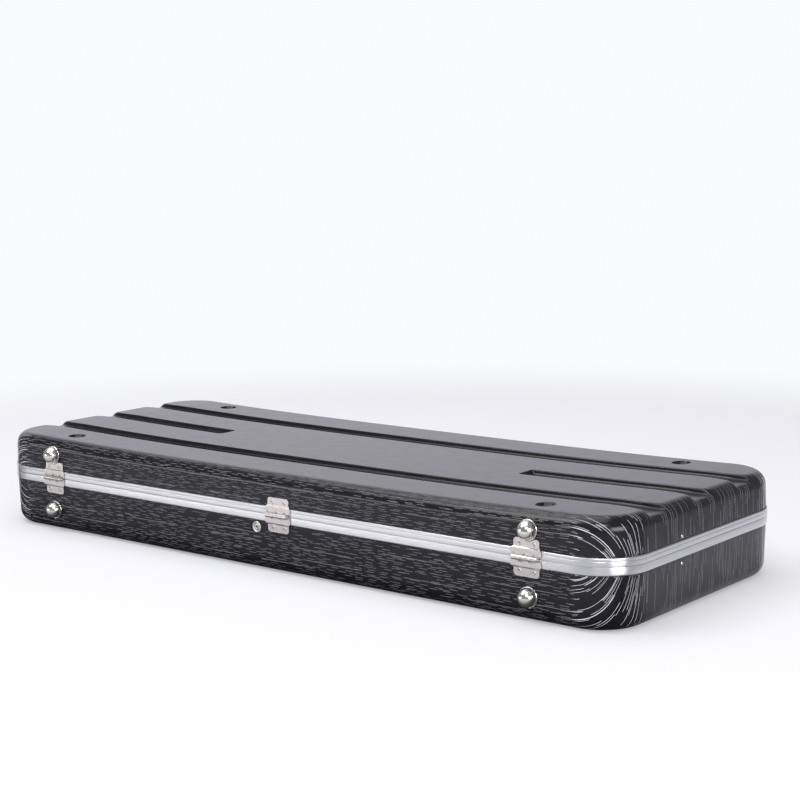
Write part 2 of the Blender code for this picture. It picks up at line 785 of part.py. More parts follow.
def smooth_outline(points, steps):
    """A closed curve through points, as a Catmull-Rom spline with a few steps between them."""
    p = np.array(points)
    count = len(p)
    out = []
    for i in range(count):
        a, b, c, d = p[i - 1], p[i], p[(i + 1) % count], p[(i + 2) % count]
        for t in np.arange(steps) / steps:
            bend = (2 * a - 5 * b + 4 * c - d) * t**2 + (3 * b - a - 3 * c + d) * t**3
            out.append(0.5 * (2 * b + (c - a) * t + bend))
    return np.array(out)


def grown(outline, distance):
    """An anticlockwise outline moved outwards along its normals."""
    ahead = np.roll(outline, -1, axis=0) - np.roll(outline, 1, axis=0)
    normal = np.column_stack([ahead[:, 1], -ahead[:, 0]])
    return outline + distance * normal / np.linalg.norm(normal, axis=1)[:, None]


def pocket_outline():
    """The instrument pocket: a waisted body, a neck channel and a headstock pocket, the same on both sides."""
    tail = -HALF_LENGTH + FOAM_END
    head = HALF_LENGTH - FOAM_END
    bout = HALF_WIDTH - FOAM_SIDE
    body = POCKET_BODY_LENGTH
    neck = head - POCKET_HEAD_LENGTH
    half = [
        (tail, 0.45 * bout),
        (tail + 0.04 * body, 0.72 * bout),
        (tail + 0.14 * body, 0.93 * bout),
        (tail + 0.30 * body, bout),
        (tail + 0.48 * body, 0.5 * (bout + POCKET_WAIST)),
        (tail + 0.64 * body, POCKET_WAIST),
        (tail + 0.80 * body, 0.5 * (POCKET_WAIST + POCKET_UPPER_BOUT)),
        (tail + 0.91 * body, POCKET_UPPER_BOUT),
        (tail + 0.98 * body, 0.88 * POCKET_UPPER_BOUT),
        (tail + 1.00 * body, 0.62 * POCKET_UPPER_BOUT),
        (tail + 1.04 * body, 1.12 * POCKET_NECK),
        (tail + 1.14 * body, POCKET_NECK),
        (neck - 0.04, POCKET_NECK),
        (neck, 0.5 * (POCKET_NECK + POCKET_HEAD)),
        (neck + 0.04, POCKET_HEAD),
        (head - 0.05, POCKET_HEAD),
        (head - 0.01, 0.80 * POCKET_HEAD),
        (head, 0.40 * POCKET_HEAD),
    ]
    below = [(x, -y) for x, y in half]
    return smooth_outline(below + half[::-1], 3)


def accessory_place():
    """(x0, y0, x1, y1) of the accessory box's outside, beside the neck channel on the latch side."""
    x0 = -HALF_LENGTH + FOAM_END + POCKET_BODY_LENGTH + BOX_END_GAP
    y0 = POCKET_NECK + BOX_SIDE_GAP
    return x0, y0, x0 + BOX_LENGTH, y0 + BOX_WIDTH


def strap_slot(name, z0, z1):
    """The room that the folded strap needs in the foam at the right end."""
    x1 = HALF_LENGTH + WALL
    x0 = HALF_LENGTH - WALL - STRAP_SLOT_DEPTH
    reach = STRAP_Y + HALF_WIDTH + PIN_OUT
    y1 = STRAP_Y + STRAP_WIDTH
    y0 = y1 - reach * 0.75
    return box(name, (x0, y0, z0), (x1, y1, z1))


def base_foam():
    """The moulded foam bed with its instrument pocket, box pocket and strap slot."""
    rings = shell_rings(BASE_HEIGHT, BASE_EDGE_RADIUS, WALL + GAP, FOAM_TOP_DROP, -1)
    foam = piece("base_foam", *loft(rings))
    pocket = grown(pocket_outline(), PLUSH + GAP)
    combine(foam, prism_z("pocket_cutter", pocket, POCKET_FLOOR, PARTING), "DIFFERENCE")
    x0, y0, x1, y1 = accessory_place()
    low = (x0 - GAP, y0 - GAP, LINING_TOP - BOX_DEPTH - GAP)
    combine(foam, box("box_cutter", low, (x1 + GAP, y1 + GAP, PARTING)), "DIFFERENCE")
    combine(foam, strap_slot("slot_cutter", PARTING - 0.5 * BASE_HEIGHT, PARTING), "DIFFERENCE")
    dress(foam, "foam")
    return foam


def base_lining():
    """The plush skin over the foam bed: a sheet over its top, walls and a floor in the pocket."""
    outline = case_ring(WALL + 2 * GAP, 0.0)[:, :2]
    skin = prism_z("base_lining", outline, FOAM_TOP + GAP, LINING_TOP)
    pocket = pocket_outline()
    floor = POCKET_FLOOR + GAP
    combine(skin, prism_z("tub", grown(pocket, PLUSH), floor, LINING_TOP - 0.2 * PLUSH), "UNION")
    combine(skin, prism_z("hollow", pocket, floor + PLUSH, PARTING), "DIFFERENCE")
    x0, y0, x1, y1 = accessory_place()
    combine(skin, box("box_hole", (x0 - GAP, y0 - GAP, 0), (x1 + GAP, y1 + GAP, PARTING)), "DIFFERENCE")
    combine(skin, strap_slot("slot", 0.0, PARTING), "DIFFERENCE")
    dress(skin, "plush")
    return skin


def lid_pocket():
    """The hollow in the lid's padding, as a rounded rectangle."""
    inset = WALL + LID_FOAM_SIDE
    return rounded_rectangle(HALF_LENGTH - inset, HALF_WIDTH - inset, LID_POCKET_RADIUS)


def lid_foam_levels():
    """Lower edge, ceiling and top of the lid's foam."""
    top = TOP - PANEL_SAG - GROOVE_DEPTH - WALL - GAP
    return PARTING + LID_FOAM_RISE, top - LID_FOAM_THICKNESS, top


def lid_foam_inset():
    """How far the lid's foam keeps in from the outer wall, to clear the drafted shell up to its top."""
    return WALL + GAP + wall_inset(LID_HEIGHT) + 0.5 * GAP


def lid_foam_pad():
    """The flat pad under the lid's panel and its grooves."""
    _, ceiling, top = lid_foam_levels()
    corner = LID_EDGE_RADIUS - WALL
    rings = []
    for extra, z in ((0.0, ceiling), (0.0, top - corner), (0.3 * corner, top - 0.3 * corner), (0.7 * corner, top)):
        rings.append(case_ring(lid_foam_inset() + extra, z))
    return piece("lid_foam_pad", *loft(rings), "foam")


def mitred_side(along_x, side):
    """The part of the case's plan that one side's strip may fill, cut at 45 degrees at its corners."""
    a, b, d = HALF_LENGTH, HALF_WIDTH, MITRE_DEPTH
    if along_x:
        outline = [(-a, -b), (a, -b), (a - d, d - b), (d - a, d - b)]
    else:
        outline = [(a + GAP, -b), (a + GAP, b), (a + GAP - d, b - d), (a + GAP - d, d - b)]
    return np.array(outline) * (1.0 if side == (-1 if along_x else 1) else -1.0)


def lid_foam_strip(name, along_x, side):
    """One of the four strips under the pad, round the lid's hollow. One is cut away for the strap."""
    edge, ceiling, _ = lid_foam_levels()
    outline = case_ring(lid_foam_inset(), 0.0)[:, :2]
    strip = prism_z(name, outline, edge, ceiling - GAP)
    hollow = grown(lid_pocket(), PLUSH + GAP)
    combine(strip, prism_z("lid_hollow", hollow, 0.0, TOP), "DIFFERENCE")
    combine(strip, prism_z("mitre", mitred_side(along_x, side), 0.0, TOP), "INTERSECT")
    if name == "lid_foam_right":
        combine(strip, strap_slot("lid_slot", 0.0, TOP), "DIFFERENCE")
    dress(strip, "foam")
    return strip


def lid_lining():
    """The plush skin over the lid's padding."""
    edge, ceiling, top = lid_foam_levels()
    outline = case_ring(lid_foam_inset() + GAP, 0.0)[:, :2]
    skin = prism_z("lid_lining", outline, edge - GAP - PLUSH, edge - GAP)
    pocket = lid_pocket()
    lowest = edge - GAP - 0.8 * PLUSH
    combine(skin, prism_z("tub", grown(pocket, PLUSH), lowest, ceiling - GAP), "UNION")
    combine(skin, prism_z("hollow", pocket, PARTING - BASE_HEIGHT, ceiling - GAP - PLUSH), "DIFFERENCE")
    combine(skin, strap_slot("slot", 0.0, ceiling - 2 * PLUSH), "DIFFERENCE")
    dress(skin, "plush")
    return skin


def neck_cradle():
    """The padded block that carries the neck, with a round notch in its top."""
    x1 = HALF_LENGTH - FOAM_END - POCKET_HEAD_LENGTH - CRADLE_GAP_TO_HEAD
    x0 = x1 - CRADLE_LENGTH
    floor = POCKET_FLOOR + PLUSH + 2 * GAP
    half = POCKET_NECK - CRADLE_SIDE_GAP
    top = floor + CRADLE_HEIGHT
    notch = arc((0.0, top), CRADLE_NOTCH, 0, -180, 12)
    outline = [(half, floor), (half, top), *notch, (-half, top), (-half, floor)]
    return prism_x_piece("neck_cradle", outline, x0, x1, "plush")


def prism_x_piece(name, outline, x0, x1, finish):
    obj = prism_x(name, outline, x0, x1)
    dress(obj, finish)
    return obj


def accessory_box():
    """The tray for picks and strings: four walls and a floor, with a ledge for its cover."""
    x0, y0, x1, y1 = accessory_place()
    bottom = LINING_TOP - BOX_DEPTH
    tray = box("accessory_box", (x0, y0, bottom), (x1, y1, LINING_TOP))
    wall = BOX_WALL + COVER_LEDGE
    low = (x0 + wall, y0 + wall, bottom + BOX_WALL)
    combine(tray, box("tray_hollow", low, (x1 - wall, y1 - wall, PARTING)), "DIFFERENCE")
    ledge = LINING_TOP - COVER_THICKNESS - GAP
    low = (x0 + BOX_WALL, y0 + BOX_WALL, ledge)
    combine(tray, box("ledge", low, (x1 - BOX_WALL, y1 - BOX_WALL, PARTING)), "DIFFERENCE")
    dress(tray, "box_board")
    return tray


def accessory_cover():
    """The lift-out cover of the accessory box."""
    x0, y0, x1, y1 = accessory_place()
    inset = BOX_WALL + GAP
    low = (x0 + inset, y0 + inset, LINING_TOP - COVER_THICKNESS)
    cover = box("accessory_cover", low, (x1 - inset, y1 - inset, LINING_TOP))
    dress(cover, "plush")
    return cover


def accessory_tab():
    """The ribbon loop that lifts the cover."""
    x0, y0, x1, y1 = accessory_place()
    x = (x0 + x1) / 2
    y = y0 + BOX_WALL + 0.012
    z = LINING_TOP + GAP
    thick = 0.0008
    end = y + TAB_LENGTH
    outline = [(y, z), (end, z), (end, z + thick), (y + 0.003, z + thick)]
    outline += [(y + 0.002, z + 3 * thick), (end, z + 3 * thick), (end, z + 4 * thick), (y, z + 4 * thick)]
    return prism_x_piece("accessory_pull_tab", outline, x - TAB_WIDTH / 2, x + TAB_WIDTH / 2, "webbing")


def latch_side(out, rise):
    """(y, z) of a point on the latch side, out from the straight wall at the parting line."""
    return HALF_WIDTH + out, PARTING + rise


def latch_plate(name, x):
    """The latch's plate on the base, with two ears that carry the lever's pin."""
    top = -(RIM_HEIGHT + GAP)
    bottom = top - LATCH_PLATE_LENGTH
    lean = wall_inset(-bottom)
    half = LATCH_PLATE_WIDTH / 2
    sheet = GAP + LATCH_SHEET
    outline = [
        latch_side(GAP, top),
        latch_side(GAP - lean, bottom),
        latch_side(sheet - lean, bottom),
        latch_side(sheet, top),
    ]
    plate = prism_x(name, outline, x - half, x + half)
    ear_top = -LEVER_PIVOT_DOWN + LATCH_EAR_LENGTH / 2
    ear_bottom = -LEVER_PIVOT_DOWN - LATCH_EAR_LENGTH / 2
    ear_top = min(ear_top, top)
    ear = [
        latch_side(GAP * 2, ear_bottom),
        latch_side(LATCH_EAR, ear_bottom + 0.002),
        latch_side(LATCH_EAR, ear_top - 0.001),
        latch_side(GAP * 2, ear_top),
    ]
    hole = LEVER_PIN_RADIUS + RUNNING_GAP
    for side in (-1, 1):
        x_in = x + side * (LEVER_WIDTH / 2 + GAP)
        x_out = x_in + side * LATCH_SHEET
        combine(plate, prism_x("ear", ear, min(x_in, x_out), max(x_in, x_out)), "UNION")
    bore = rod_x("bore", x - half - 0.001, x + half + 0.001, latch_side(LEVER_PIVOT_OUT, -LEVER_PIVOT_DOWN), hole, 12)
    combine(plate, bore, "DIFFERENCE")
    dress(plate, "nickel")
    return plate


def rod_x(name, x0, x1, centre, radius, steps):
    """A round rod along X."""
    angles = np.linspace(0, 2 * math.pi, steps, endpoint=False)
    rings = []
    for x in (x0, x1):
        y = centre[0] + radius * np.cos(angles)
        z = centre[1] + radius * np.sin(angles)
        rings.append(np.column_stack([np.full(steps, x), y, z]))
    return piece(name, *loft(rings))


def latch_lever(name, x):
    """The latch's lever: a curved plate from its pivot eye down to a finger lip."""
    half = LEVER_WIDTH / 2
    eye = LEVER_PIN_RADIUS + RUNNING_GAP
    y, z = latch_side(LEVER_PIVOT_OUT, -LEVER_PIVOT_DOWN)
    thick = 0.0018
    top_out = LEVER_PIVOT_OUT + eye + thick
    end = -LEVER_PIVOT_DOWN - LEVER_LENGTH
    arm = [
        latch_side(top_out - 0.0022, -LEVER_PIVOT_DOWN + eye + thick - 0.0004),
        latch_side(LEVER_PIVOT_OUT - eye - 0.0006, -LEVER_PIVOT_DOWN + eye + thick - 0.0004),
        latch_side(LEVER_PIVOT_OUT - eye - thick, -LEVER_PIVOT_DOWN),
        latch_side(LEVER_PIVOT_OUT - BAIL_ARM_IN - 0.0028, -LEVER_PIVOT_DOWN - BAIL_ARM_DOWN),
        latch_side(LEVER_PIVOT_OUT - BAIL_ARM_IN - 0.0020, -LEVER_PIVOT_DOWN - BAIL_ARM_DOWN - 0.0030),
        latch_side(LEVER_PIVOT_OUT - 0.0012, -LEVER_PIVOT_DOWN - BAIL_ARM_DOWN - 0.0050),
        latch_side(top_out - 0.0010, -LEVER_PIVOT_DOWN - BAIL_ARM_DOWN - 0.0050),
        latch_side(top_out, -LEVER_PIVOT_DOWN),
    ]
    finger = [
        latch_side(LEVER_PIVOT_OUT - 0.0012, -LEVER_PIVOT_DOWN - BAIL_ARM_DOWN - 0.0030),
        latch_side(LEVER_PIVOT_OUT - 0.0024, end + 0.006),
        latch_side(LEVER_PIVOT_OUT + 0.0012, end),
        latch_side(LEVER_PIVOT_OUT + 0.0028, end + 0.0008),
        latch_side(LEVER_PIVOT_OUT - 0.0004, end + 0.0068),
        latch_side(top_out - 0.0006, -LEVER_PIVOT_DOWN - BAIL_ARM_DOWN - 0.0030),
    ]
    lever = prism_x(name, arm, x - half, x + half)
    wide = LEVER_FINGER_WIDTH / 2
    combine(lever, prism_x("finger", finger, x - wide, x + wide), "UNION")
    combine(lever, rod_x("eye", x - half - 0.001, x + half + 0.001, (y, z), eye, 12), "DIFFERENCE")
    bail_eye = bail_pivot()
    reach = 0.004
    hole = BAIL_WIRE + RUNNING_GAP
    for side in (-1, 1):
        x_out = x + side * (half + 0.001)
        x_in = x + side * (half - reach)
        combine(lever, rod_x("eye", min(x_in, x_out), max(x_in, x_out), bail_eye, hole, 12), "DIFFERENCE")
    dress(lever, "nickel")
    set_origin(lever, (x, y, z))
    return lever


def bail_pivot():
    """(y, z) of the bail's ends in the lever."""
    return latch_side(LEVER_PIVOT_OUT - BAIL_ARM_IN, -LEVER_PIVOT_DOWN - BAIL_ARM_DOWN)


def lever_pin(name, x):
    reach = LEVER_WIDTH / 2 + GAP + LATCH_SHEET + GAP
    pin = rod_x(name, x - reach, x + reach, latch_side(LEVER_PIVOT_OUT, -LEVER_PIVOT_DOWN), LEVER_PIN_RADIUS, 10)
    dress(pin, "steel_pin")
    return pin


def latch_bail(name, x):
    """The wire bail: two legs from the lever up to a bar behind the keeper's lip, with its ends turned in."""
    y0, z0 = bail_pivot()
    y1, z1 = latch_side(BAIL_BAR_OUT, BAIL_BAR_UP)
    w = BAIL_HALF_WIDTH
    turn = 0.003
    inner = LEVER_WIDTH / 2 - 0.003
    legs = [(-inner, 0.0), (-w + 0.0008, 0.0), (-w, 0.0012 / (z1 - z0))]
    legs += [(-w, 1 - turn / (z1 - z0)), (-w + 0.3 * turn, 1 - 0.3 * turn / (z1 - z0)), (-w + turn, 1.0)]
    path = [(x + dx, y0 + (y1 - y0) * s, z0 + (z1 - z0) * s) for dx, s in legs]
    path += [(2 * x - px, py, pz) for px, py, pz in path[::-1]]
    curve = bpy.data.curves.new(name, "CURVE")
    curve.dimensions = "3D"
    curve.bevel_depth = BAIL_WIRE
    curve.bevel_resolution = 2
    curve.use_fill_caps = True
    spline = curve.splines.new("POLY")
    spline.points.add(len(path) - 1)
    for point, place in zip(spline.points, path):
        point.co = (place[0], place[1] - y0, place[2] - z0, 1.0)
    bail = bpy.data.objects.new(name, curve)
    bail.location = (0.0, y0, z0)
    bpy.context.scene.collection.objects.link(bail)
    curve.materials.append(material("bright_nickel"))
    return bail


def latch_keeper(name, x):
    """The keeper on the lid: a riveted flange, a step over the rim and a lipped seat under the bail's bar."""
    half = KEEPER_WIDTH / 2
    nose = BAIL_HALF_WIDTH - BAIL_WIRE - 3 * GAP
    sheet = LATCH_SHEET
    step = RIM_HEIGHT + GAP
    band_in = RIM_PROUD + GAP
    band_out = BAIL_BAR_OUT - BAIL_WIRE - GAP
    seat = BAIL_BAR_UP - BAIL_WIRE - KEEPER_SEAT_GAP
    lip_in = BAIL_BAR_OUT + BAIL_WIRE + GAP
    lip_out = lip_in + sheet
    lean = wall_inset(KEEPER_REACH)
    flange = [
        latch_side(GAP - lean, KEEPER_REACH),
        latch_side(GAP, step),
        latch_side(GAP + sheet, step),
        latch_side(GAP + sheet - lean, KEEPER_REACH),
    ]
    keeper = prism_x(name, flange, x - half, x + half)
    outline = [
        latch_side(GAP + sheet / 2, step + sheet),
        latch_side(GAP + sheet / 2, step),
        latch_side(band_in, step),
        latch_side(band_in, seat - sheet),
        latch_side(lip_out, seat - sheet),
        latch_side(lip_out, seat + KEEPER_LIP),
        latch_side(lip_in, seat + KEEPER_LIP),
        latch_side(lip_in, seat),
        latch_side(band_out, seat),
        latch_side(band_out, step + sheet),
    ]
    combine(keeper, prism_x("nose", outline, x - nose, x + nose), "UNION")
    for side in (-1, 1):
        rise = (KEEPER_REACH + step) / 2
        y, z = wall_point(1, sheet, rise)
        head = rivet_head("rivet", (x + side * half / 2, y, z), LEAF_RIVET_RADIUS, 1, wall_lean(1, rise))
        combine(keeper, head, "UNION")
    dress(keeper, "nickel")
    return keeper


def handle_pivot():
    return latch_side(HANDLE_PIVOT_OUT, -HANDLE_PIVOT_DOWN)


def handle_grip():
    """The moulded handle: an oval grip with an arm and an eye at each end."""
    y, z = handle_pivot()
    drop = HANDLE_DROP
    angles = np.linspace(0, 2 * math.pi, 16, endpoint=False)
    rings = []
    for share in np.linspace(-1, 1, 9):
        swell = 1.0 - 0.12 * share**2
        ry = HANDLE_GRIP_RADIUS_OUT * swell
        rz = HANDLE_GRIP_RADIUS_UP * swell
        x = share * (HANDLE_HALF_SPAN + HANDLE_ARM_WIDTH / 2)
        cy = y + 0.001
        cz = z - drop
        rings.append(np.column_stack([np.full(16, x), cy + ry * np.cos(angles), cz + rz * np.sin(angles)]))
    grip = piece("handle_grip", *loft(rings))
    half = HANDLE_ARM_WIDTH / 2
    eye = HANDLE_PIN_RADIUS + RUNNING_GAP
    round_radius = eye + 0.0035
    arm = [(y + round_radius, z - drop), *arc((y, z), round_radius, 0, 180, 8), (y - round_radius, z - drop)]
    for side in (-1, 1):
        x = side * HANDLE_HALF_SPAN
        combine(grip, prism_x("arm", arm, x - half, x + half), "UNION")
        combine(grip, rod_x("eye", x - half - 0.001, x + half + 0.001, (y, z), eye, 12), "DIFFERENCE")
    dress(grip, "handle_rubber")
    set_origin(grip, (0.0, y, z))
    return grip


def handle_bracket(name, x):
    """A steel bracket: a plate on the wall with two ears round the handle's arm."""
    y, z = handle_pivot()
    half = BRACKET_WIDTH / 2
    top = -(RIM_HEIGHT + GAP)
    bottom = top - BRACKET_LENGTH
    lean = wall_inset(-bottom)
    sheet = BRACKET_SHEET
    outline = [
        latch_side(GAP, top),
        latch_side(GAP - lean, bottom),
        latch_side(GAP + sheet - lean, bottom),
        latch_side(GAP + sheet, top),
    ]
    plate = prism_x(name, outline, x - half, x + half)
    ear_in = HANDLE_ARM_WIDTH / 2 + 2 * GAP
    ear_radius = HANDLE_PIN_RADIUS + 0.0035
    root = HALF_WIDTH + 2 * GAP
    ear = [(root, z + ear_radius), *arc((y, z), ear_radius, 90, -90, 8), (root, z - ear_radius)]
    for side in (-1, 1):
        x0 = x + side * ear_in
        x1 = x0 + side * sheet
        combine(plate, prism_x("ear", ear, min(x0, x1), max(x0, x1)), "UNION")
    hole = HANDLE_PIN_RADIUS + RUNNING_GAP
    combine(plate, rod_x("bore", x - half, x + half, (y, z), hole, 12), "DIFFERENCE")
    dress(plate, "nickel")
    return plate


def handle_pin(name, x):
    reach = HANDLE_ARM_WIDTH / 2 + 2 * GAP + BRACKET_SHEET + 0.0006
    pin = rod_x(name, x - reach, x + reach, handle_pivot(), HANDLE_PIN_RADIUS, 12)
    dress(pin, "steel_pin")
    return pin


def build_hinge_side(lid_axis):
    """Hinges, bumpers and the eyelet on the -Y side."""
    hinge_x = HALF_LENGTH - HINGE_FROM_END
    bumper_x = HALF_LENGTH - BUMPER_FROM_END
    places = (("left", -hinge_x, -bumper_x), ("middle", HINGE_MIDDLE_X, None), ("right", hinge_x, bumper_x))
    for side, x, notch_x in places:
        hang_on(lid_axis, hinge_leaf(f"hinge_{side}_upper_leaf", x, 1, notch_x))
        hinge_leaf(f"hinge_{side}_lower_leaf", x, -1)
        hinge_pin(f"hinge_{side}_pin", x)
    for side, x in (("left", -bumper_x), ("right", bumper_x)):
        hang_on(lid_axis, bumper(f"bumper_{side}_upper", x, BUMPER_UP))
        bumper(f"bumper_{side}_lower", x, -BUMPER_DOWN)
    wall_eyelet()


def build_latch_side(lid_axis):
    """Latches and the handle on the +Y side."""
    outer = HALF_LENGTH - LATCH_FROM_END
    inner = HANDLE_HALF_SPAN + LATCH_TO_HANDLE
    places = (-outer, -inner, inner, outer)
    for number, x in enumerate(places, start=1):
        latch_plate(f"latch_{number}_plate", x)
        latch_lever(f"latch_{number}_lever", x)
        lever_pin(f"latch_{number}_pin", x)
        latch_bail(f"latch_{number}_bail", x)
        hang_on(lid_axis, latch_keeper(f"latch_{number}_keeper", x))
    handle_grip()
    for side, x in (("left", -HANDLE_HALF_SPAN), ("right", HANDLE_HALF_SPAN)):
        handle_bracket(f"handle_bracket_{side}", x)
        handle_pin(f"handle_pin_{side}", x)


def build_inside(lid_axis):
    """Foam, plush, neck cradle and accessory box."""
    base_foam()
    base_lining()
    hang_on(lid_axis, lid_foam_pad())
    for name, along_x, side in LID_FOAM_STRIPS:
        hang_on(lid_axis, lid_foam_strip(name, along_x, side))
    hang_on(lid_axis, lid_lining())
    neck_cradle()
    accessory_box()
    accessory_cover()
    accessory_tab()


def build():
    clear_scene()
    lid_axis = axis_empty("lid_axis", (0.0, -(HALF_WIDTH + PIN_OUT), PARTING))
    base_shell()
    base_rim()
    hang_on(lid_axis, lid_shell())
    hang_on(lid_axis, lid_rim())
    build_hinge_side(lid_axis)
    build_latch_side(lid_axis)
    build_inside(lid_axis)
    strap_rivet("strap_rivet_lower", -STRAP_RIVET_DOWN)
    hang_on(lid_axis, strap_rivet("strap_rivet_upper", STRAP_RIVET_UP))
    lid_strap()


build()
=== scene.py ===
# %% [markdown]
# # An electric guitar case
#
# The case is two vacuum formed shells of black plastic with an aluminium extrusion round each open edge.
# Three hinges join them on one long side, four draw latches close them on the other, and a padded bed
# inside holds the guitar. The solids of every piece are loaded first. Each visible piece is then made again
# with more detail, in the same place, and rides on the body that its solid belongs to.

# %% Load the solids
import math

import bmesh
import bpy
import numpy as np
from mathutils import Matrix, Vector


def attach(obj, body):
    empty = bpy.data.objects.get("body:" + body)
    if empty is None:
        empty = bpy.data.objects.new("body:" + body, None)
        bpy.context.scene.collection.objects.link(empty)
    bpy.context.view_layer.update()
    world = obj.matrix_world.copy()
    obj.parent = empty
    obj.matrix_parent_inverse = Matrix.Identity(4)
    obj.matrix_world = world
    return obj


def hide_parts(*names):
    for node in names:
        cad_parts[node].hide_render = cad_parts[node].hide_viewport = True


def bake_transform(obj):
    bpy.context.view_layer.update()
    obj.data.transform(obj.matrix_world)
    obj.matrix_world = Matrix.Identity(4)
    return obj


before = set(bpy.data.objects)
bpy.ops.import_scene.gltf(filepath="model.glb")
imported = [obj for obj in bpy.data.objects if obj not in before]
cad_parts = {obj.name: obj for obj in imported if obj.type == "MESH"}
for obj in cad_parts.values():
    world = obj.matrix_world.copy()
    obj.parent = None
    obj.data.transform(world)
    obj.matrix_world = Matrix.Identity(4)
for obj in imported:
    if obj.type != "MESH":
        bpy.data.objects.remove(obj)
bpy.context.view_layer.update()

# %% [markdown]
# ## The camera
#
# Thirty points of the case were matched to the picture to find where the camera stood and how long its lens
# was. A camera in Blender looks along its own -Z, so its matrix holds the directions right, up and back.

# %% Camera
CAMERA_RIGHT = (0.78027538, 0.6252778, -0.01407127)
CAMERA_UP = (-0.08518634, 0.1285377, 0.98803914)
CAMERA_BACK = (0.61960763, -0.76974394, 0.15355993)
CAMERA_PLACE = (1.522686, -1.811166, 0.562339)
LENS_MM, SENSOR_MM = 80.606, 36.0

camera_data = bpy.data.cameras.new("camera")
camera_data.sensor_width = SENSOR_MM
camera_data.lens = LENS_MM
camera = bpy.data.objects.new("camera", camera_data)
bpy.context.scene.collection.objects.link(camera)
columns = np.column_stack([CAMERA_RIGHT, CAMERA_UP, CAMERA_BACK, CAMERA_PLACE])
camera.matrix_world = Matrix([*columns.tolist(), [0, 0, 0, 1]])
bpy.context.scene.camera = camera
print("camera at", CAMERA_PLACE, "lens", LENS_MM, "mm")

# %% [markdown]
# ## Sums on shader sockets
#
# A pattern such as a moulded grain is a formula. Written as Math nodes by hand it is hard to read, so a
# small class wraps a socket and lets Python's own + - * / build the nodes. Every other node comes from one
# method of the tree that it belongs to, which is a material's or the world's.


# %% A socket that can be used in sums
class Wire:
    """One output socket. Arithmetic on wires adds Math nodes to their owner's tree."""

    def __init__(self, owner, socket):
        self.owner = owner
        self.socket = socket

    def maths(self, operation, *values):
        return self.owner.node("ShaderNodeMath", {"operation": operation}, dict(enumerate(values)))

    def __add__(self, other):
        return self.maths("ADD", self, other)

    def __sub__(self, other):
        return self.maths("SUBTRACT", self, other)

    def __rsub__(self, other):
        return self.maths("SUBTRACT", other, self)

    def __mul__(self, other):
        return self.maths("MULTIPLY", self, other)

    def __truediv__(self, other):
        return self.maths("DIVIDE", self, other)

    __radd__ = __add__
    __rmul__ = __mul__

    def floor(self):
        return self.maths("FLOOR", self)

    def part(self):
        """What is left after the whole number is taken away."""
        return self.maths("FRACT", self)

    def size(self):
        return self.maths("ABSOLUTE", self)

    def over(self, other):
        """The larger of two values."""
        return self.maths("MAXIMUM", self, other)

    def ramp(self, low, high, start=0.0, end=1.0):
        """Rises smoothly from start to end while this value goes from low to high."""
        settings = {"interpolation_type": "SMOOTHSTEP"}
        inputs = {"Value": self, "From Min": low, "From Max": high, "To Min": start, "To Max": end}
        return self.owner.node("ShaderNodeMapRange", settings, inputs)


class Nodes:
    """A node tree that is being filled."""

    def __init__(self, tree):
        self.tree = tree

    def node(self, kind, settings=None, inputs=None, output=0):
        """Adds a node. Its settings are set first, then each socket gets a value or a link."""
        made = self.tree.nodes.new(kind)
        for key, value in (settings or {}).items():
            setattr(made, key, value)
        for key, value in (inputs or {}).items():
            if isinstance(value, Wire):
                self.tree.links.new(value.socket, made.inputs[key])
            else:
                made.inputs[key].default_value = value
        return Wire(self, made.outputs[output])

    def outputs(self, kind, names, inputs=None):
        """Several outputs of one new node."""
        made = self.node(kind, None, inputs).socket.node
        return [Wire(self, made.outputs[name]) for name in names]

    def feed(self, node, values):
        """Links wires to a node's sockets, by name. A socket that stays uniform gets its value instead."""
        for socket, value in values.items():
            if isinstance(value, Wire):
                self.tree.links.new(value.socket, self.tree.nodes[node].inputs[socket])
            else:
                self.tree.nodes[node].inputs[socket].default_value = value

    def split(self, vector):
        """The three numbers of a vector."""
        return self.outputs("ShaderNodeSeparateXYZ", "XYZ", {0: vector})

    def join(self, x, y, z=0.0):
        return self.node("ShaderNodeCombineXYZ", None, {0: x, 1: y, 2: z})

    def noise(self, vector, scale, detail=2.0, roughness=0.5):
        inputs = {"Vector": vector, "Scale": scale, "Detail": detail, "Roughness": roughness}
        return self.node("ShaderNodeTexNoise", None, inputs)

    def random(self, vector):
        """A random number from 0 to 1 for each whole vector."""
        return self.node("ShaderNodeTexWhiteNoise", {"noise_dimensions": "3D"}, {"Vector": vector})

    def mix(self, share, first, second):
        """Goes from the first colour to the second."""
        inputs = {0: share, 6: first, 7: second}
        return self.node("ShaderNodeMix", {"data_type": "RGBA"}, inputs, output=2)


class Finish(Nodes):
    """A material that is being made: its nodes, and the one shader that they feed."""

    def __init__(self, name, colour, roughness, metallic=0.0, specular=0.5):
        self.material = bpy.data.materials.new(name)
        self.material.use_nodes = True
        super().__init__(self.material.node_tree)
        self.shade({"Base Color": rgba(*colour), "Roughness": roughness})
        self.shade({"Metallic": metallic, "Specular IOR Level": specular})

    def shade(self, values):
        """Feeds the shader's sockets."""
        self.feed("Principled BSDF", values)

    def place(self):
        """Object coordinates, in metres."""
        return self.node("ShaderNodeTexCoord", output=3)

    def sheet(self):
        """Places along and across the flat sheet, in metres, and a share: 0 on a panel, 1 on a wall."""
        return self.split(self.node("ShaderNodeAttribute", {"attribute_name": "sheet"}, output=1))

    def bump(self, height, strength, distance):
        """Tilts the surface as a height in metres would."""
        inputs = {"Strength": strength, "Distance": distance, "Height": height}
        self.shade({"Normal": self.node("ShaderNodeBump", None, inputs)})


def rgba(red, green, blue):
    return (red, green, blue, 1.0)


print("shader sums are ready")

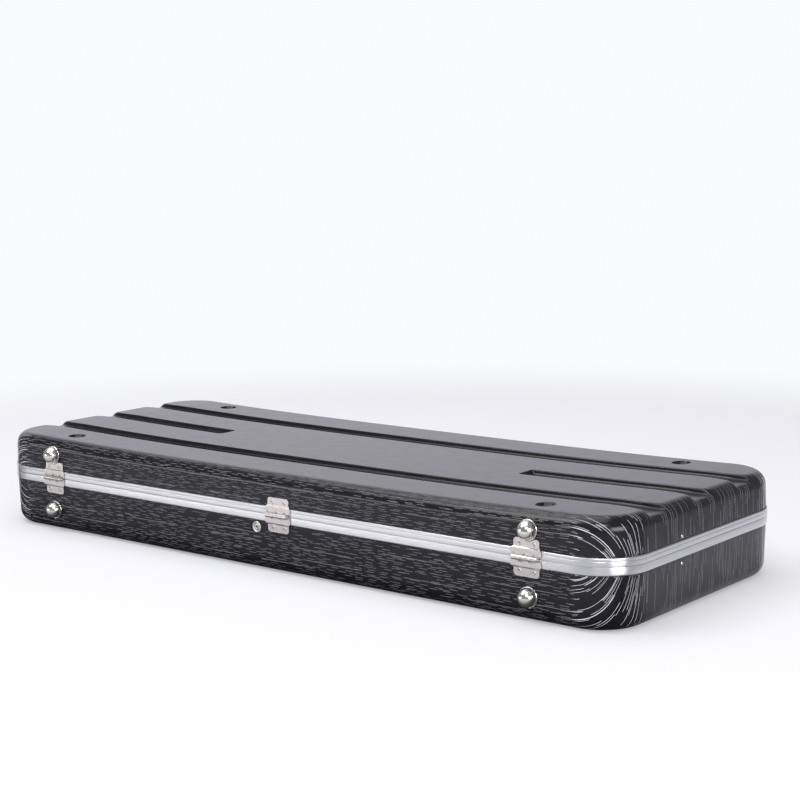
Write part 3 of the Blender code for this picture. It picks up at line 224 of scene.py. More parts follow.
# %% [markdown]
# ## The studio
#
# The picture shows a white floor with a soft shadow under the case, and black gloss that mirrors a studio.
# A lit floor alone would be grey far away, so there it glows white for the camera and for mirror rays.
# A mirror ray that meets the floor close to the case, in front of it or beside its right end, sees painted
# shade
# instead: greys, darkest at its foot. The light that reaches the floor is the same, so the shadow keeps its
# softness.

# %% The floor
FLOOR_HALF, FLOOR_DROP = 30, 0.0004
FLOOR_COLOUR = rgba(0.655, 0.655, 0.69)
WHITE = rgba(0.955, 0.96, 0.985)
FRONT_TINT = rgba(0.985, 0.98, 1.06)
# Painted shade that only mirror rays see on the floor: FRONT_TINT is its lightest in front of the case, and
# the next grey lies beside its right end.
PAINTED_SHADE_BESIDE = rgba(0.35, 0.345, 0.405)
CAMERA_GLOW = 0.35

floor_mesh = bpy.data.meshes.new("floor")
floor_corners = [(FLOOR_HALF * x, FLOOR_HALF * y, 0) for x, y in ((-1, -1), (1, -1), (1, 1), (-1, 1))]
floor_mesh.from_pydata(floor_corners, [], [(0, 1, 2, 3)])
floor = bpy.data.objects.new("floor", floor_mesh)
floor.location.z = -FLOOR_DROP
bpy.context.scene.collection.objects.link(floor)

paper = Finish("floor_paper", FLOOR_COLOUR[:3], 0.9, specular=0.1)
place = paper.place()
away = paper.node("ShaderNodeVectorMath", {"operation": "LENGTH"}, {0: place}, output=1)
across, deep, _ = paper.split(place)
mirrored, camera_ray = paper.outputs("ShaderNodeLightPath", ("Is Glossy Ray", "Is Camera Ray"))
# Painted shade for mirror rays: black at the case's foot, lighter grey further in front, and grey beside
# the right end.
ahead = deep * -1.0
beside = across.ramp(0.60, 0.95)
painted_shade_fades = ahead.ramp(0.205, 0.265, 0.06, 0.36) + ahead.ramp(0.265, 0.46, 0.0, 0.20)
mirror_painted_shade = paper.mix(beside, paper.mix(painted_shade_fades, rgba(0, 0, 0), FRONT_TINT), PAINTED_SHADE_BESIDE)
mirror_shade_mask = ahead.ramp(0.05, 0.19).over(beside) * mirrored
paper.shade({"Base Color": paper.mix(mirror_shade_mask, FLOOR_COLOUR, mirror_painted_shade)})
far = (away.ramp(0.85, 1.9) * camera_ray.over(mirrored)).over(camera_ray * CAMERA_GLOW)
glow_inputs = {"Color": paper.mix(mirror_shade_mask, WHITE, mirror_painted_shade), "Strength": 1.0}
glow = paper.node("ShaderNodeEmission", None, glow_inputs)
lit = Wire(paper, paper.tree.nodes["Principled BSDF"].outputs[0])
both = paper.node("ShaderNodeMixShader", None, {0: far, 1: lit, 2: glow})
paper.feed("Material Output", {"Surface": both})
floor_mesh.materials.append(paper.material)
print("floor", 2 * FLOOR_HALF, "m wide")

# %% [markdown]
# ## Surroundings and lamps
#
# The world is white where the camera sees it and weaker as a light. For mirror rays it is dim in front of
# the case and bright behind its left end, where the panel mirrors it at a low angle and turns pale, as real
# gloss does. Five rectangular lamps are reflected as the soft spots on the domes and on the band's corner.

# %% Surroundings and lamps
LIGHT_LEVEL, FRONT_LEVEL, BACK_GAIN = 0.66, 0.30, 0.72
PLAIN_SKY, BEHIND_SKY = rgba(0.94, 0.94, 0.965), rgba(0.93, 0.905, 1.0)

world = bpy.data.worlds.new("studio")
bpy.context.scene.world = world
world.use_nodes = True
sky = Nodes(world.node_tree)
mirrored, camera_ray = sky.outputs("ShaderNodeLightPath", ("Is Glossy Ray", "Is Camera Ray"))
x, y, z = sky.split(sky.node("ShaderNodeTexCoord"))
leftwards = (x * -2.5 - 0.25).over(0.0)
behind = y.over(0.0) * leftwards * (z * 2.2 + 0.6)
gloss = mirrored * (behind * BACK_GAIN + FRONT_LEVEL - LIGHT_LEVEL)
level = gloss + camera_ray * (1.0 - LIGHT_LEVEL) + LIGHT_LEVEL
tint = sky.mix(behind, PLAIN_SKY, BEHIND_SKY)
sky.feed("Background", {"Color": sky.mix(camera_ray, tint, WHITE), "Strength": level})


def lamp(name, place, target, size, power):
    """A rectangular soft lamp that faces a target. Sizes are in metres, the power is in watts."""
    data = bpy.data.lights.new(name, "AREA")
    data.shape = "RECTANGLE"
    data.size, data.size_y = size
    data.energy = power
    made = bpy.data.objects.new(name, data)
    made.location = place
    made.rotation_mode = "QUATERNION"
    made.rotation_quaternion = (Vector(place) - Vector(target)).to_track_quat("Z", "Y")
    bpy.context.scene.collection.objects.link(made)


lamp("overhead", (-0.4, -0.3, 2.6), (0, 0, 0), (2.8, 2.4), 46)
lamp("front_left", (-1.4, -1.7, 2.7), (0, 0, 0.05), (1.2, 1.0), 22)
lamp("low_front", (-1.9, -2.35, 0.30), (0, -0.1, 0.07), (1.6, 0.25), 8)
lamp("by_the_camera", (1.7, -2.1, 2.2), (0.3, -0.1, 0.05), (1.2, 1.0), 30)
lamp("by_the_end", (2.85, -1.05, 0.75), (0.5, -0.15, 0.07), (1.3, 1.1), 38)
bpy.context.scene.view_settings.view_transform = "Standard"
print("studio: surroundings and five lamps")

# %% [markdown]
# ## The shells' plastic
#
# The sheet of black plastic has an embossed grain of short parallel dashes. It is flat when it is embossed,
# and the forming stretches it over the mould, so the dashes stay straight along the long sides, turn
# upright on the ends and sweep round the corners. The shell's mesh carries an attribute with the place of
# each point on the flat sheet, and the grain is drawn there. The dashes are drawn grey: the pattern is the
# grain's, and the grey is painted highlight for the light that their raised edges catch. It is strongest on
# the corners and faint on the panels, and the hair streaks are painted lighter on the end walls.

# %% Black grained plastic
# Each kind of dash: length, pitch and thickness in metres, the share of cells with a dash, and a seed.
FINE = (0.0200, 0.0031, 0.00058, 0.80, 1.0)
SECOND = (0.026, 0.0062, 0.00055, 0.45, 2.0)
LONG = (0.150, 0.0120, 0.00075, 0.50, 3.0)
SWEPT = (0.070, 0.0026, 0.00038, 0.58, 4.0)
UPRIGHT = (0.090, 0.0043, 0.00090, 0.80, 5.0)
SECOND_SHIFT, DOT_PITCH, DRIFT = 0.0015, 0.0034, 0.0012
# Where the grain changes on the flat sheet: past these it is a corner's, an end's, a long side's.
CORNER_FROM, END_FROM, SIDE_FROM, BLEND = 0.452, 0.478, 0.125, 0.02
# The plastic itself is black; the grain's dashes are painted the second, grey colour as a highlight.
BLACK, GRAIN_GLINT_GREY = rgba(0.0055, 0.0055, 0.0075), rgba(0.62, 0.62, 0.67)


def dashes(finish, s, t, length, pitch, thick, density, seed):
    """Staggered dashes on the sheet.

    Rows lie one pitch apart. Each row is cut into cells one length long, shifted by a random share, and a
    random share of the cells holds a line with its own start, end and height in the row.
    """
    rows = t / pitch
    row = rows.floor()
    shift = finish.random(finish.join(row, seed, 3.0)) * 7.0
    along = s / length + shift
    cell = along.floor()
    pick = finish.random(finish.join(cell, row, seed))
    more = finish.random(finish.join(cell, row, seed + 11.0))
    start = more * 0.30 + 0.04
    end = more * 0.25 + 0.70
    soft = 0.04
    f = along.part()
    inside = (f - start).ramp(0.0, soft) * (f - end).ramp(-soft, 0.0, 1.0, 0.0)
    middle = (pick / density).part() * 0.5 + 0.25
    half = thick / pitch / 2
    line = (rows.part() - middle).size().ramp(half * 0.5, half * 1.6, 1.0, 0.0)
    return inside * line * pick.ramp(density - 0.01, density, 1.0, 0.0)


def grained_plastic():
    """Glossy black plastic with light dashes, strong on the walls and faint on the panels, their grey a
    painted highlight.
    """
    finish = Finish("grained_plastic", (0.006, 0.006, 0.008), 0.26, specular=0.35)
    s, t, wall = finish.sheet()
    drift = finish.noise(finish.join(s, t * 2.0), 18.0)
    t = t + (drift - 0.5) * DRIFT
    s_size, t_size = s.size(), t.size()
    corner = s_size.ramp(CORNER_FROM, CORNER_FROM + BLEND) * t_size.ramp(SIDE_FROM, SIDE_FROM + BLEND)
    on_end = s_size.ramp(END_FROM, END_FROM + BLEND) * t_size.ramp(SIDE_FROM, SIDE_FROM + BLEND, 1.0, 0.0)
    fine = dashes(finish, s, t, *FINE)
    second = dashes(finish, s, t + SECOND_SHIFT, *SECOND)
    long = dashes(finish, s, t, *LONG)
    swept = dashes(finish, s, t, *SWEPT)
    upright = dashes(finish, s, t, *UPRIGHT)
    patchy = finish.noise(finish.join(s * 0.5, t), 26.0).ramp(0.30, 0.60, 0.85, 1.0)
    straight = (fine.over(second) * patchy).over(long)
    dots = ((s / DOT_PITCH).part() - 0.5).size().ramp(0.20, 0.36, 1.0, 0.35)
    side = (corner + on_end).ramp(0.0, 1.0)
    lines = straight * (1.0 - side) + swept.over(long) * corner * (1.0 - on_end) + upright * dots * on_end
    hair = finish.noise(finish.join(s * 0.05, t), 520.0, 3.0, 0.6)
    streaks = hair.ramp(0.45, 0.75) * wall
    # Painted highlight on the grain: dashes several times as strong on the corners, faint on the panels,
    # streaks stronger on the end walls.
    shade = lines * (wall * 0.93 + 0.07) * (corner * 4.2 + 0.9) + streaks * (on_end * 0.14 + 0.05)
    rough = finish.noise(finish.join(s, t), 45.0)
    finish.shade({"Base Color": finish.mix(shade * 0.212, BLACK, GRAIN_GLINT_GREY)})
    finish.shade({"Roughness": rough * 0.10 + 0.15 + lines * wall * 0.25})
    finish.bump((lines + hair * 0.5) * (wall * 0.9 + 0.1), 0.6, 0.00010)
    return finish.material


PLASTIC = grained_plastic()
print("the grained plastic has", len(PLASTIC.node_tree.nodes), "nodes")

# %% [markdown]
# ## Metal, plush, webbing and moulded finishes
#
# Bare metal shows how it was made. An extrusion has fine lines along its length, which spread a reflection
# up and down: that is what an anisotropic shader does. Plated steel is evenly scratched. Plush has a sheen
# and tufts, webbing has ribs, and moulded rubber and coated board have a stipple.


# %% The other finishes
def brushed_aluminium():
    """Anodised extrusion: fine draw lines along its length spread each reflection up and down."""
    finish = Finish("anodised_aluminium", (0.80, 0.80, 0.82), 0.34, 1.0)
    s, t, _ = finish.sheet()
    coarse = finish.noise(finish.join(s * 3.0, t * 900.0), 1.0, 2.0, 0.6)
    lines = finish.noise(finish.join(s * 6.0, t * 4000.0), 1.0, 3.0, 0.6) * 0.5 + coarse * 0.5
    cloud = finish.noise(finish.join(s, t), 30.0)
    finish.shade({"Anisotropic": 0.85, "Anisotropic Rotation": 0.25})
    finish.shade({"Base Color": finish.mix(lines, rgba(0.56, 0.56, 0.57), rgba(0.94, 0.94, 0.95))})
    finish.shade({"Roughness": lines * 0.14 + cloud * 0.08 + 0.22})
    finish.bump(lines, 0.25, 0.00004)
    return finish.material


def nickel(name, colour, roughness, scratch):
    """Plated steel with fine scratches in two directions and a slight clouding."""
    finish = Finish(name, colour, roughness, 1.0)
    place = finish.place()
    x, y, z = finish.split(place)
    level_lines = finish.noise(finish.join(x * 40.0, z * 3000.0, y * 40.0), 1.0)
    upright_lines = finish.noise(finish.join(x * 2600.0, z * 60.0, y * 60.0), 1.0)
    cloud = finish.noise(place, 160.0, 3.0)
    wear = (level_lines + upright_lines) * 0.5
    dark = rgba(*[0.80 * c for c in colour])
    finish.shade({"Base Color": finish.mix(cloud, dark, rgba(*colour))})
    finish.shade({"Roughness": wear * scratch + cloud * 0.06 + roughness})
    finish.bump(wear, 0.2, 0.00003)
    return finish.material


def plush():
    """Short pile over foam: a soft sheen, tufts a millimetre apart, and patches that lie another way."""
    finish = Finish("black_plush", (0.030, 0.030, 0.034), 0.95, specular=0.1)
    place = finish.place()
    tufts = finish.noise(place, 1100.0, 3.0, 0.7)
    patches = finish.noise(place, 22.0, 3.0, 0.6).ramp(0.35, 0.65)
    pile = finish.mix(tufts * 0.6 + patches * 0.4, rgba(0.014, 0.014, 0.017), rgba(0.052, 0.052, 0.060))
    finish.shade({"Sheen Weight": 0.35, "Sheen Roughness": 0.45, "Sheen Tint": rgba(0.60, 0.60, 0.66)})
    finish.shade({"Base Color": pile})
    finish.bump(tufts, 0.9, 0.0007)
    return finish.material


def webbing():
    """Woven band: ribs across it and a fine zigzag of warp threads."""
    finish = Finish("woven_webbing", (0.020, 0.020, 0.022), 0.85, specular=0.2)
    s, t, _ = finish.sheet()
    turn = ((t / 0.003).part() - 0.5).size() * 2.0
    rib = ((s / 0.0012 + turn).part() - 0.5).size() * 2.0
    warp = ((t / 0.0006).part() - 0.5).size() * 2.0
    weave = rib * 0.7 + warp * 0.3
    finish.shade({"Base Color": finish.mix(weave, rgba(0.009, 0.009, 0.010), rgba(0.050, 0.050, 0.055))})
    finish.bump(weave, 0.8, 0.0003)
    return finish.material


def textured(name, low, high, roughness, scale, depth):
    """A moulded or coated surface with a fine leathery stipple."""
    finish = Finish(name, high, roughness)
    place = finish.place()
    stipple = finish.noise(place, scale, 4.0, 0.6)
    finish.shade({"Base Color": finish.mix(finish.noise(place, 40.0), rgba(*low), rgba(*high))})
    finish.shade({"Roughness": stipple * 0.2 + (roughness - 0.1)})
    finish.bump(stipple, 0.7, depth)
    return finish.material


ALUMINIUM = brushed_aluminium()
NICKEL = nickel("nickel_plate", (0.78, 0.735, 0.70), 0.24, 0.16)
BRIGHT_NICKEL = nickel("bright_nickel", (0.90, 0.87, 0.83), 0.11, 0.05)
STEEL = nickel("steel_pin", (0.60, 0.58, 0.56), 0.28, 0.12)
PLUSH = plush()
WEBBING = webbing()
BOARD = textured("box_board", (0.036, 0.034, 0.033), (0.052, 0.049, 0.047), 0.62, 900.0, 0.0002)
RUBBER = textured("handle_rubber", (0.020, 0.020, 0.022), (0.032, 0.032, 0.034), 0.50, 1300.0, 0.00012)
print("finishes made:", len(bpy.data.materials))

# %% [markdown]
# ## From numbers to a mesh
#
# Every new piece is worked out as arrays of points. A patch is a grid of points whose faces join
# neighbours. Patches that share an edge are joined by merging points that fall on each other, which also
# closes poles and seams. Then the faces are turned outwards.


# %% Mesh helpers
MERGE = 2e-6
EASED_FROM = math.radians(40.0)


def patch_faces(rows, columns):
    """The quads of a grid of points, as an array of four indices each."""
    at = np.arange(rows * columns).reshape(rows, columns)
    return np.stack([at[:-1, :-1], at[:-1, 1:], at[1:, 1:], at[1:, :-1]], axis=-1).reshape(-1, 4)


def mesh_object(name, patches, sheet=None, smooth=35.0, outwards=True):
    """One object from patches of points: grids joined where they touch, with its faces turned outwards.

    Each patch is an array of rows x columns x 3. Sheet holds the same grids' places on the flat sheet.
    """
    points = np.concatenate([p.reshape(-1, 3) for p in patches])
    faces = []
    start = 0
    for p in patches:
        faces.append(patch_faces(p.shape[0], p.shape[1]) + start)
        start += p.shape[0] * p.shape[1]
    faces = np.concatenate(faces)
    mesh = bpy.data.meshes.new(name)
    mesh.vertices.add(len(points))
    mesh.vertices.foreach_set("co", points.astype(np.float32).ravel())
    mesh.loops.add(faces.size)
    mesh.loops.foreach_set("vertex_index", faces.ravel().astype(np.int32))
    mesh.polygons.add(len(faces))
    mesh.polygons.foreach_set("loop_start", np.arange(0, faces.size, 4, dtype=np.int32))
    mesh.update(calc_edges=True)
    if sheet is not None:
        layer = mesh.attributes.new("sheet", "FLOAT_VECTOR", "POINT")
        flat = np.concatenate([q.reshape(-1, 3) for q in sheet])
        layer.data.foreach_set("vector", flat.astype(np.float32).ravel())
    bm = bmesh.new()
    bm.from_mesh(mesh)
    bmesh.ops.remove_doubles(bm, verts=bm.verts, dist=MERGE)
    if outwards:
        bmesh.ops.recalc_face_normals(bm, faces=bm.faces)
    bm.to_mesh(mesh)
    bm.free()
    mesh.shade_smooth()
    mesh.set_sharp_from_angle(angle=math.radians(smooth))
    obj = bpy.data.objects.new(name, mesh)
    bpy.context.scene.collection.objects.link(obj)
    return obj


def finish_piece(obj, finish, body, nodes):
    """Gives a piece its finish and the body that it rides on, and hides the solids that it stands for.
    """
    obj.data.materials.clear()
    obj.data.materials.append(finish)
    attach(obj, body)
    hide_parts(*nodes)
    print(obj.name, len(obj.data.vertices), "points")


def put_in(node, way, patches, finish, body, sheet=None, smooth=35.0):
    """A finished piece from patches, named after its solid and the way in which it is made."""
    obj = mesh_object(f"{node}_{way}", patches, sheet, smooth)
    finish_piece(obj, finish, body, [node])
    return obj


def eased(obj, width):
    """Rounds an object's sharp edges by a small width."""
    bevel = obj.modifiers.new("bevel", "BEVEL")
    bevel.width = width
    bevel.segments = 2
    bevel.limit_method = "ANGLE"
    bevel.angle_limit = EASED_FROM


def settled(obj):
    """Applies an object's modifiers to its mesh."""
    bpy.context.view_layer.update()
    graph = bpy.context.evaluated_depsgraph_get()
    mesh = bpy.data.meshes.new_from_object(obj.evaluated_get(graph))
    obj.modifiers.clear()
    obj.data = mesh


def ring_patch(rings):
    """Rings of equal counts as one patch that closes on itself both ways."""
    grid = np.array(rings)
    grid = np.concatenate([grid, grid[:, :1]], axis=1)
    return np.concatenate([grid, grid[:1]])


def grid_of(*parts):
    """Numbers and arrays, stretched to one shape, as a grid whose last axis holds them."""
    return np.stack(np.broadcast_arrays(*parts), axis=-1).astype(float)


def smoothstep(value):
    """Rises from 0 to 1 with level ends: t t (3 - 2 t), with t held between 0 and 1."""
    t = np.clip(value, 0, 1)
    return t * t * (3 - 2 * t)


print("mesh helpers are ready")

# %% [markdown]
# ## The shells
#
# A shell is one skin pulled over a box with rounded corners. Seen from above it is a flat middle, four
# sides and four corner fans. A profile carries each side from the flat over a rounded edge and down the
# wall. The lid's panel sags a little between its stiff ends, and grooves and round dimples are pressed in.

# %% The case's sizes
MM = 0.001
HALF_LENGTH, HALF_WIDTH, CORNER = 0.521, 0.194, 0.061
PARTING, TOP = 0.076, 0.131
WALL = 0.003
DRAFT = math.tan(math.radians(1.8))
STRAIGHT_EDGE, EDGE_DROP = 0.012, 0.0026
LID_EDGE, BASE_EDGE = 0.017, 0.018
SAG = 0.004
FLAT_X, FLAT_Y = HALF_LENGTH - CORNER, HALF_WIDTH - CORNER

GROOVE_ROWS = (-0.100, 0.0, 0.100)
GROOVE_FLOOR_HALF, GROOVE_DEPTH, GROOVE_SLOPE = 0.0145, 0.006, 4.0
GROOVE_FOOT, GROOVE_LIP = 0.0010, 0.0012
MOUTH_FROM, MOUTH_LENGTH, MOUTH_WIDENS, MOUTH_LIP = 0.484, 0.030, 0.005, 0.0030
CENTRE_GROOVE_ENDS, CENTRE_PAST, CENTRE_ROUND = (-0.251, 0.264), 0.0015, 0.004
GROOVE_MARKS = [12.0, 13.0, 13.6, 14.2, 14.8, 15.3, 15.8, 16.3, 17.0, 18.0, 19.5, 21.5, 24.0, 27.5]

DIMPLE_X, DIMPLE_Y = (-0.399, 0.399), (-0.153, 0.153)
DIMPLES = [(x, y) for x in DIMPLE_X for y in DIMPLE_Y]
DIMPLE_REACH, DIMPLE_FADE = 0.0195, 0.28
DIMPLE_FLOOR, DIMPLE_SIDE, DIMPLE_DEPTH = 0.0095, 0.003, 0.004

# Points across the flat, round the edge, down the wall and round each corner, and the widest gaps.
FLAT_STEPS, EDGE_STEPS, WALL_STEPS, FAN_STEPS = 25, 12, 7, 19
GAP_ALONG, GAP_CARVED, GAP_PLAIN = 0.018, 0.012, 0.03
print("case", 2 * HALF_LENGTH, "x", 2 * HALF_WIDTH, "x", TOP, "m without its rims")


# %% Skins and shells
def wall_inset(rise):
    """How far a wall has drawn in at a height from the parting line."""
    return DRAFT * np.maximum(0.0, rise - STRAIGHT_EDGE)


def panel_sag(x):
    """The sag of the lid's panel: greatest in the middle, none where the stiff ends begin."""
    return SAG * np.clip(1 - np.abs(x / FLAT_X) ** 3, 0, None)


def filled(stops, gap):
    """Sorted stops with more put between them so that none are further apart than a gap."""
    stops = np.unique(np.round(stops, 6))
    out = [stops[:1]]
    for a, b in zip(stops[:-1], stops[1:]):
        count = max(1, math.ceil((b - a) / gap))
        out.append(np.linspace(a, b, count + 1)[1:])
    return np.concatenate(out)


def skin_profile(height, edge, offset):
    """(inset, rise, arc length) from the corner's centre line over the rounded edge and down the wall.

    The flat runs in to the edge's arc, the arc turns by 90 degrees, and the wall goes down to a drop above
    the parting line. Offset moves the whole skin inwards by a wall's thickness.
    """
    bend = height - edge
    lean = float(wall_inset(bend))
    flat = np.linspace(CORNER, lean + edge, FLAT_STEPS)[:-1]
    turn = np.linspace(0, np.pi / 2, EDGE_STEPS + 1)
    radius = edge - offset
    arc_inset = lean + edge - radius * np.sin(turn)
    arc_rise = bend + radius * np.cos(turn)
    wall = np.linspace(bend, STRAIGHT_EDGE, WALL_STEPS)[1:]
    inset = np.concatenate([flat, arc_inset, wall_inset(wall) + offset, [offset]])
    rise = np.concatenate([np.full(len(flat), height - offset), arc_rise, wall, [EDGE_DROP]])
    steps = np.hypot(np.diff(inset), np.diff(rise))
    return inset, rise, np.concatenate([[0], np.cumsum(steps)])


def round_dimples(x, y):
    """Pulls grid lines near each dimple into circles: a square ring of the grid becomes a round one.

    A point's distance is scaled by (larger of |u| and |v|) / hypot(u, v), fading out near the reach.
    """
    for cx, cy in DIMPLES:
        u = (x - cx) / DIMPLE_REACH
        v = (y - cy) / DIMPLE_REACH
        square = np.maximum(np.abs(u), np.abs(v))
        circle = np.hypot(u, v)
        near = square < 1
        share = np.clip((1 - square) / DIMPLE_FADE, 0, 1)
        scale = 1 + share * (square / np.maximum(circle, 1e-9) - 1)
        x = np.where(near, cx + u * scale * DIMPLE_REACH, x)
        y = np.where(near, cy + v * scale * DIMPLE_REACH, y)
    return x, y


def soft_lower(a, b, blur):
    """The lower of two heights, rounded where they cross: (a + b - sqrt((a - b)^2 + blur^2)) / 2."""
    return (a + b - np.sqrt((a - b) ** 2 + blur**2)) / 2


def carve(x, y, z, offset):
    """The lid's height after the grooves and dimples are pressed in.

    A groove's side rises by its slope times the distance away from its floor, which starts softly at the
    foot. The outer grooves widen where they run out over the ends, and the middle one stops twice with
    rounded corners. Offset grows all of them for the inner skin.
    """
    level = TOP - panel_sag(x) - offset
    near_end = np.clip((np.abs(x) - MOUTH_FROM) / MOUTH_LENGTH, 0, 1)
    blur = GROOVE_LIP + MOUTH_LIP * near_end
    for row in GROOVE_ROWS:
        away = np.abs(y - row) - GROOVE_FLOOR_HALF - offset - MOUTH_WIDENS * near_end**2
        if row == 0.0:
            left, right = CENTRE_GROOVE_ENDS
            end = np.minimum(x - left + CENTRE_PAST - offset, right + CENTRE_PAST - offset - x)
            away = np.hypot(np.maximum(away + CENTRE_ROUND, 0), np.maximum(end + CENTRE_ROUND, 0))
            away -= CENTRE_ROUND
        away = (away + np.sqrt(away**2 + GROOVE_FOOT**2)) / 2
        z = soft_lower(z, level - GROOVE_DEPTH + GROOVE_SLOPE * away, blur)
    for cx, cy in DIMPLES:
        r = np.hypot(x - cx, y - cy)
        z = z - DIMPLE_DEPTH * (1 - smoothstep((r - DIMPLE_FLOOR - offset) / DIMPLE_SIDE))
    return z


def skin(height, edge, offset, up, xs, ys, carved):
    """All patches of one skin, and their places on the flat sheet."""
    inset, rise, run = skin_profile(height, edge, offset)
    over = np.clip((run - (CORNER - edge - 0.004)) / (edge * 1.2), 0, 1)
    patches, sheets = [], []

    def add(*parts):
        x, y, lift, s, t, share = np.broadcast_arrays(*parts)
        if carved:
            x, y = round_dimples(x, y)
            weight = np.clip((lift - STRAIGHT_EDGE) / (height - edge - STRAIGHT_EDGE), 0, 1)
            z = PARTING + lift - panel_sag(x) * weight
            z = np.where(lift > STRAIGHT_EDGE + 0.002, carve(x, y, z, offset), z)
        else:
            z = PARTING + up * lift
        patches.append(grid_of(x, y, z))
        sheets.append(grid_of(s, t, share))

    x, y = xs[:, None], ys[:, None]
    add(x, ys, rise[0], x, ys, 0.0)
    turn = np.linspace(0, np.pi / 2, FAN_STEPS)[:, None]
    cosine, sine, reach = np.cos(turn), np.sin(turn), CORNER - inset
    for side in (-1, 1):
        add(x, side * (HALF_WIDTH - inset), rise, x, side * (FLAT_Y + run), over)
        add(side * (HALF_LENGTH - inset), y, rise, side * (FLAT_X + run), y, over)
        for other in (-1, 1):
            fan_x, fan_y = side * (FLAT_X + reach * cosine), other * (FLAT_Y + reach * sine)
            add(fan_x, fan_y, rise, side * (FLAT_X + run * cosine), other * (FLAT_Y + run * sine), over)
    return patches, sheets


def shell(name, height, edge, up, carved):
    """A shell of one wall's thickness: an outer skin, an inner one, and the edge between them."""
    ys = [-FLAT_Y, FLAT_Y]
    xs = [-FLAT_X, FLAT_X]
    if carved:
        marks = np.array(GROOVE_MARKS) * MM
        for row in GROOVE_ROWS:
            ys += [*(row - marks), *(row + marks)]
        for end in CENTRE_GROOVE_ENDS:
            xs += [*(end + np.linspace(-0.006, 0.006, 11))]
        for middle in DIMPLE_X:
            xs += [*(middle + np.linspace(-DIMPLE_REACH, DIMPLE_REACH, 23))]
    xs, ys = filled(xs, GAP_ALONG), filled(ys, GAP_CARVED if carved else GAP_PLAIN)
    outer, sheets = skin(height, edge, 0.0, up, xs, ys, carved)
    inner, _ = skin(height, edge, WALL, up, xs, ys, carved)
    # The first patch is the flat middle. Each of the others ends at the shell's edge, in its last column.
    strips = [np.stack([a[:, -1], b[:, -1]], axis=1) for a, b in zip(outer[1:], inner[1:])]
    sheets = sheets + [np.zeros(p.shape) for p in inner + strips]
    body = "lid" if carved else "base"
    put_in(name, "formed", outer + inner + strips, PLASTIC, body, sheets, 50.0)


# %% The two shells
shell("lid_shell", TOP - PARTING, LID_EDGE, 1, True)
shell("base_shell", PARTING, BASE_EDGE, -1, False)

# %% [markdown]
# ## The rims
#
# Each rim is one aluminium extrusion, bent round the case and closed on itself: a channel over the shell's
# edge. The lower one has a tongue that the lid closes over, the upper one has a fine line along its face.

# %% Two extrusions
def rounded_path(out, corner_steps=20):
    """The case's outline moved outwards: four arcs joined by the straight sides."""
    turn = np.linspace(0, np.pi / 2, corner_steps + 1)
    radius = CORNER + out
    parts = []
    for k, (sx, sy) in enumerate(((1, -1), (1, 1), (-1, 1), (-1, -1))):
        a = turn + (k - 1) * np.pi / 2
        parts.append(np.column_stack([sx * FLAT_X + radius * np.cos(a), sy * FLAT_Y + radius * np.sin(a)]))
    return np.concatenate(parts)


def corner_curves(before, at, after, radius, steps):
    """Each corner is cut back by a radius, at most 0.45 of its shorter side, and carried round on a curve.

    From a on one side to b on the other it is (1 - w)^2 a + 2 w (1 - w) corner + w^2 b, w from 0 to 1.
    """
    back, on = before - at, after - at
    back_length = np.linalg.norm(back, axis=1)[:, None]
    on_length = np.linalg.norm(on, axis=1)[:, None]
    cut = np.minimum(radius, 0.45 * np.minimum(back_length, on_length))
    a = (at + back / back_length * cut)[:, None]
    b = (at + on / on_length * cut)[:, None]
    w = np.linspace(0, 1, steps + 1)[None, :, None]
    curve = (1 - w) ** 2 * a + 2 * w * (1 - w) * at[:, None] + w**2 * b
    return curve.reshape(-1, at.shape[1])


def along_path(points):
    """The distance along a path at each of its points."""
    return np.concatenate([[0], np.cumsum(np.hypot(*np.diff(points, axis=0).T))])


def extrusion(node, profile, body):
    """A profile of (out, z) points carried round the case, with its places along and across."""
    rings, sheet = [], []
    p = np.array(profile)
    outline = corner_curves(np.roll(p, 1, axis=0), p, np.roll(p, -1, axis=0), EXTRUSION_EDGE, 3)
    s = along_path(rounded_path(0.0))
    for (out, z), t in zip(outline, along_path(outline)):
        rings.append(grid_of(*rounded_path(out).T, z))
        sheet.append(grid_of(s, t, 0.0))
    put_in(node, "extrusion", [ring_patch(rings)], ALUMINIUM, body, [ring_patch(sheet)], 40.0)


EXTRUSION_EDGE = 0.00035
GAP = 0.0003
PROUD, LEG, WEB, RIM_HEIGHT = 0.0015, 0.0014, 0.002, 0.010
CHAMFER_IN, CHAMFER_UP, TONGUE_RISE, LINE_CUT = 0.0006, 0.0009, 0.004, 0.0004
leg_out, leg_in = -(WALL + GAP), -(WALL + GAP) - LEG
tongue_out, tongue_in = leg_in - GAP, leg_in - GAP - LEG
low_face, high_face = PARTING - GAP / 2, PARTING + GAP / 2
foot, crest, line = PARTING - RIM_HEIGHT, PARTING + RIM_HEIGHT, PARTING + RIM_HEIGHT * 0.6
lower_profile = [(GAP, foot), (PROUD - CHAMFER_IN, foot), (PROUD, foot + CHAMFER_UP), (PROUD, low_face)]
lower_profile += [(tongue_out, low_face), (tongue_out, PARTING + TONGUE_RISE)]
lower_profile += [(tongue_in, PARTING + TONGUE_RISE), (tongue_in, low_face - WEB), (leg_in, low_face - WEB)]
lower_profile += [(leg_in, foot + WEB), (leg_out, foot + WEB)]
lower_profile += [(leg_out, low_face - WEB), (GAP, low_face - WEB)]
upper_profile = [(GAP, crest), (PROUD - CHAMFER_IN, crest), (PROUD, crest - CHAMFER_UP)]
upper_profile += [(PROUD, line + LINE_CUT), (PROUD - LINE_CUT, line), (PROUD, line - LINE_CUT)]
upper_profile += [(PROUD, high_face), (leg_in, high_face), (leg_in, crest - WEB), (leg_out, crest - WEB)]
upper_profile += [(leg_out, high_face + WEB), (GAP, high_face + WEB)]
extrusion("base_rim", lower_profile, "base")
extrusion("lid_rim", upper_profile, "lid")


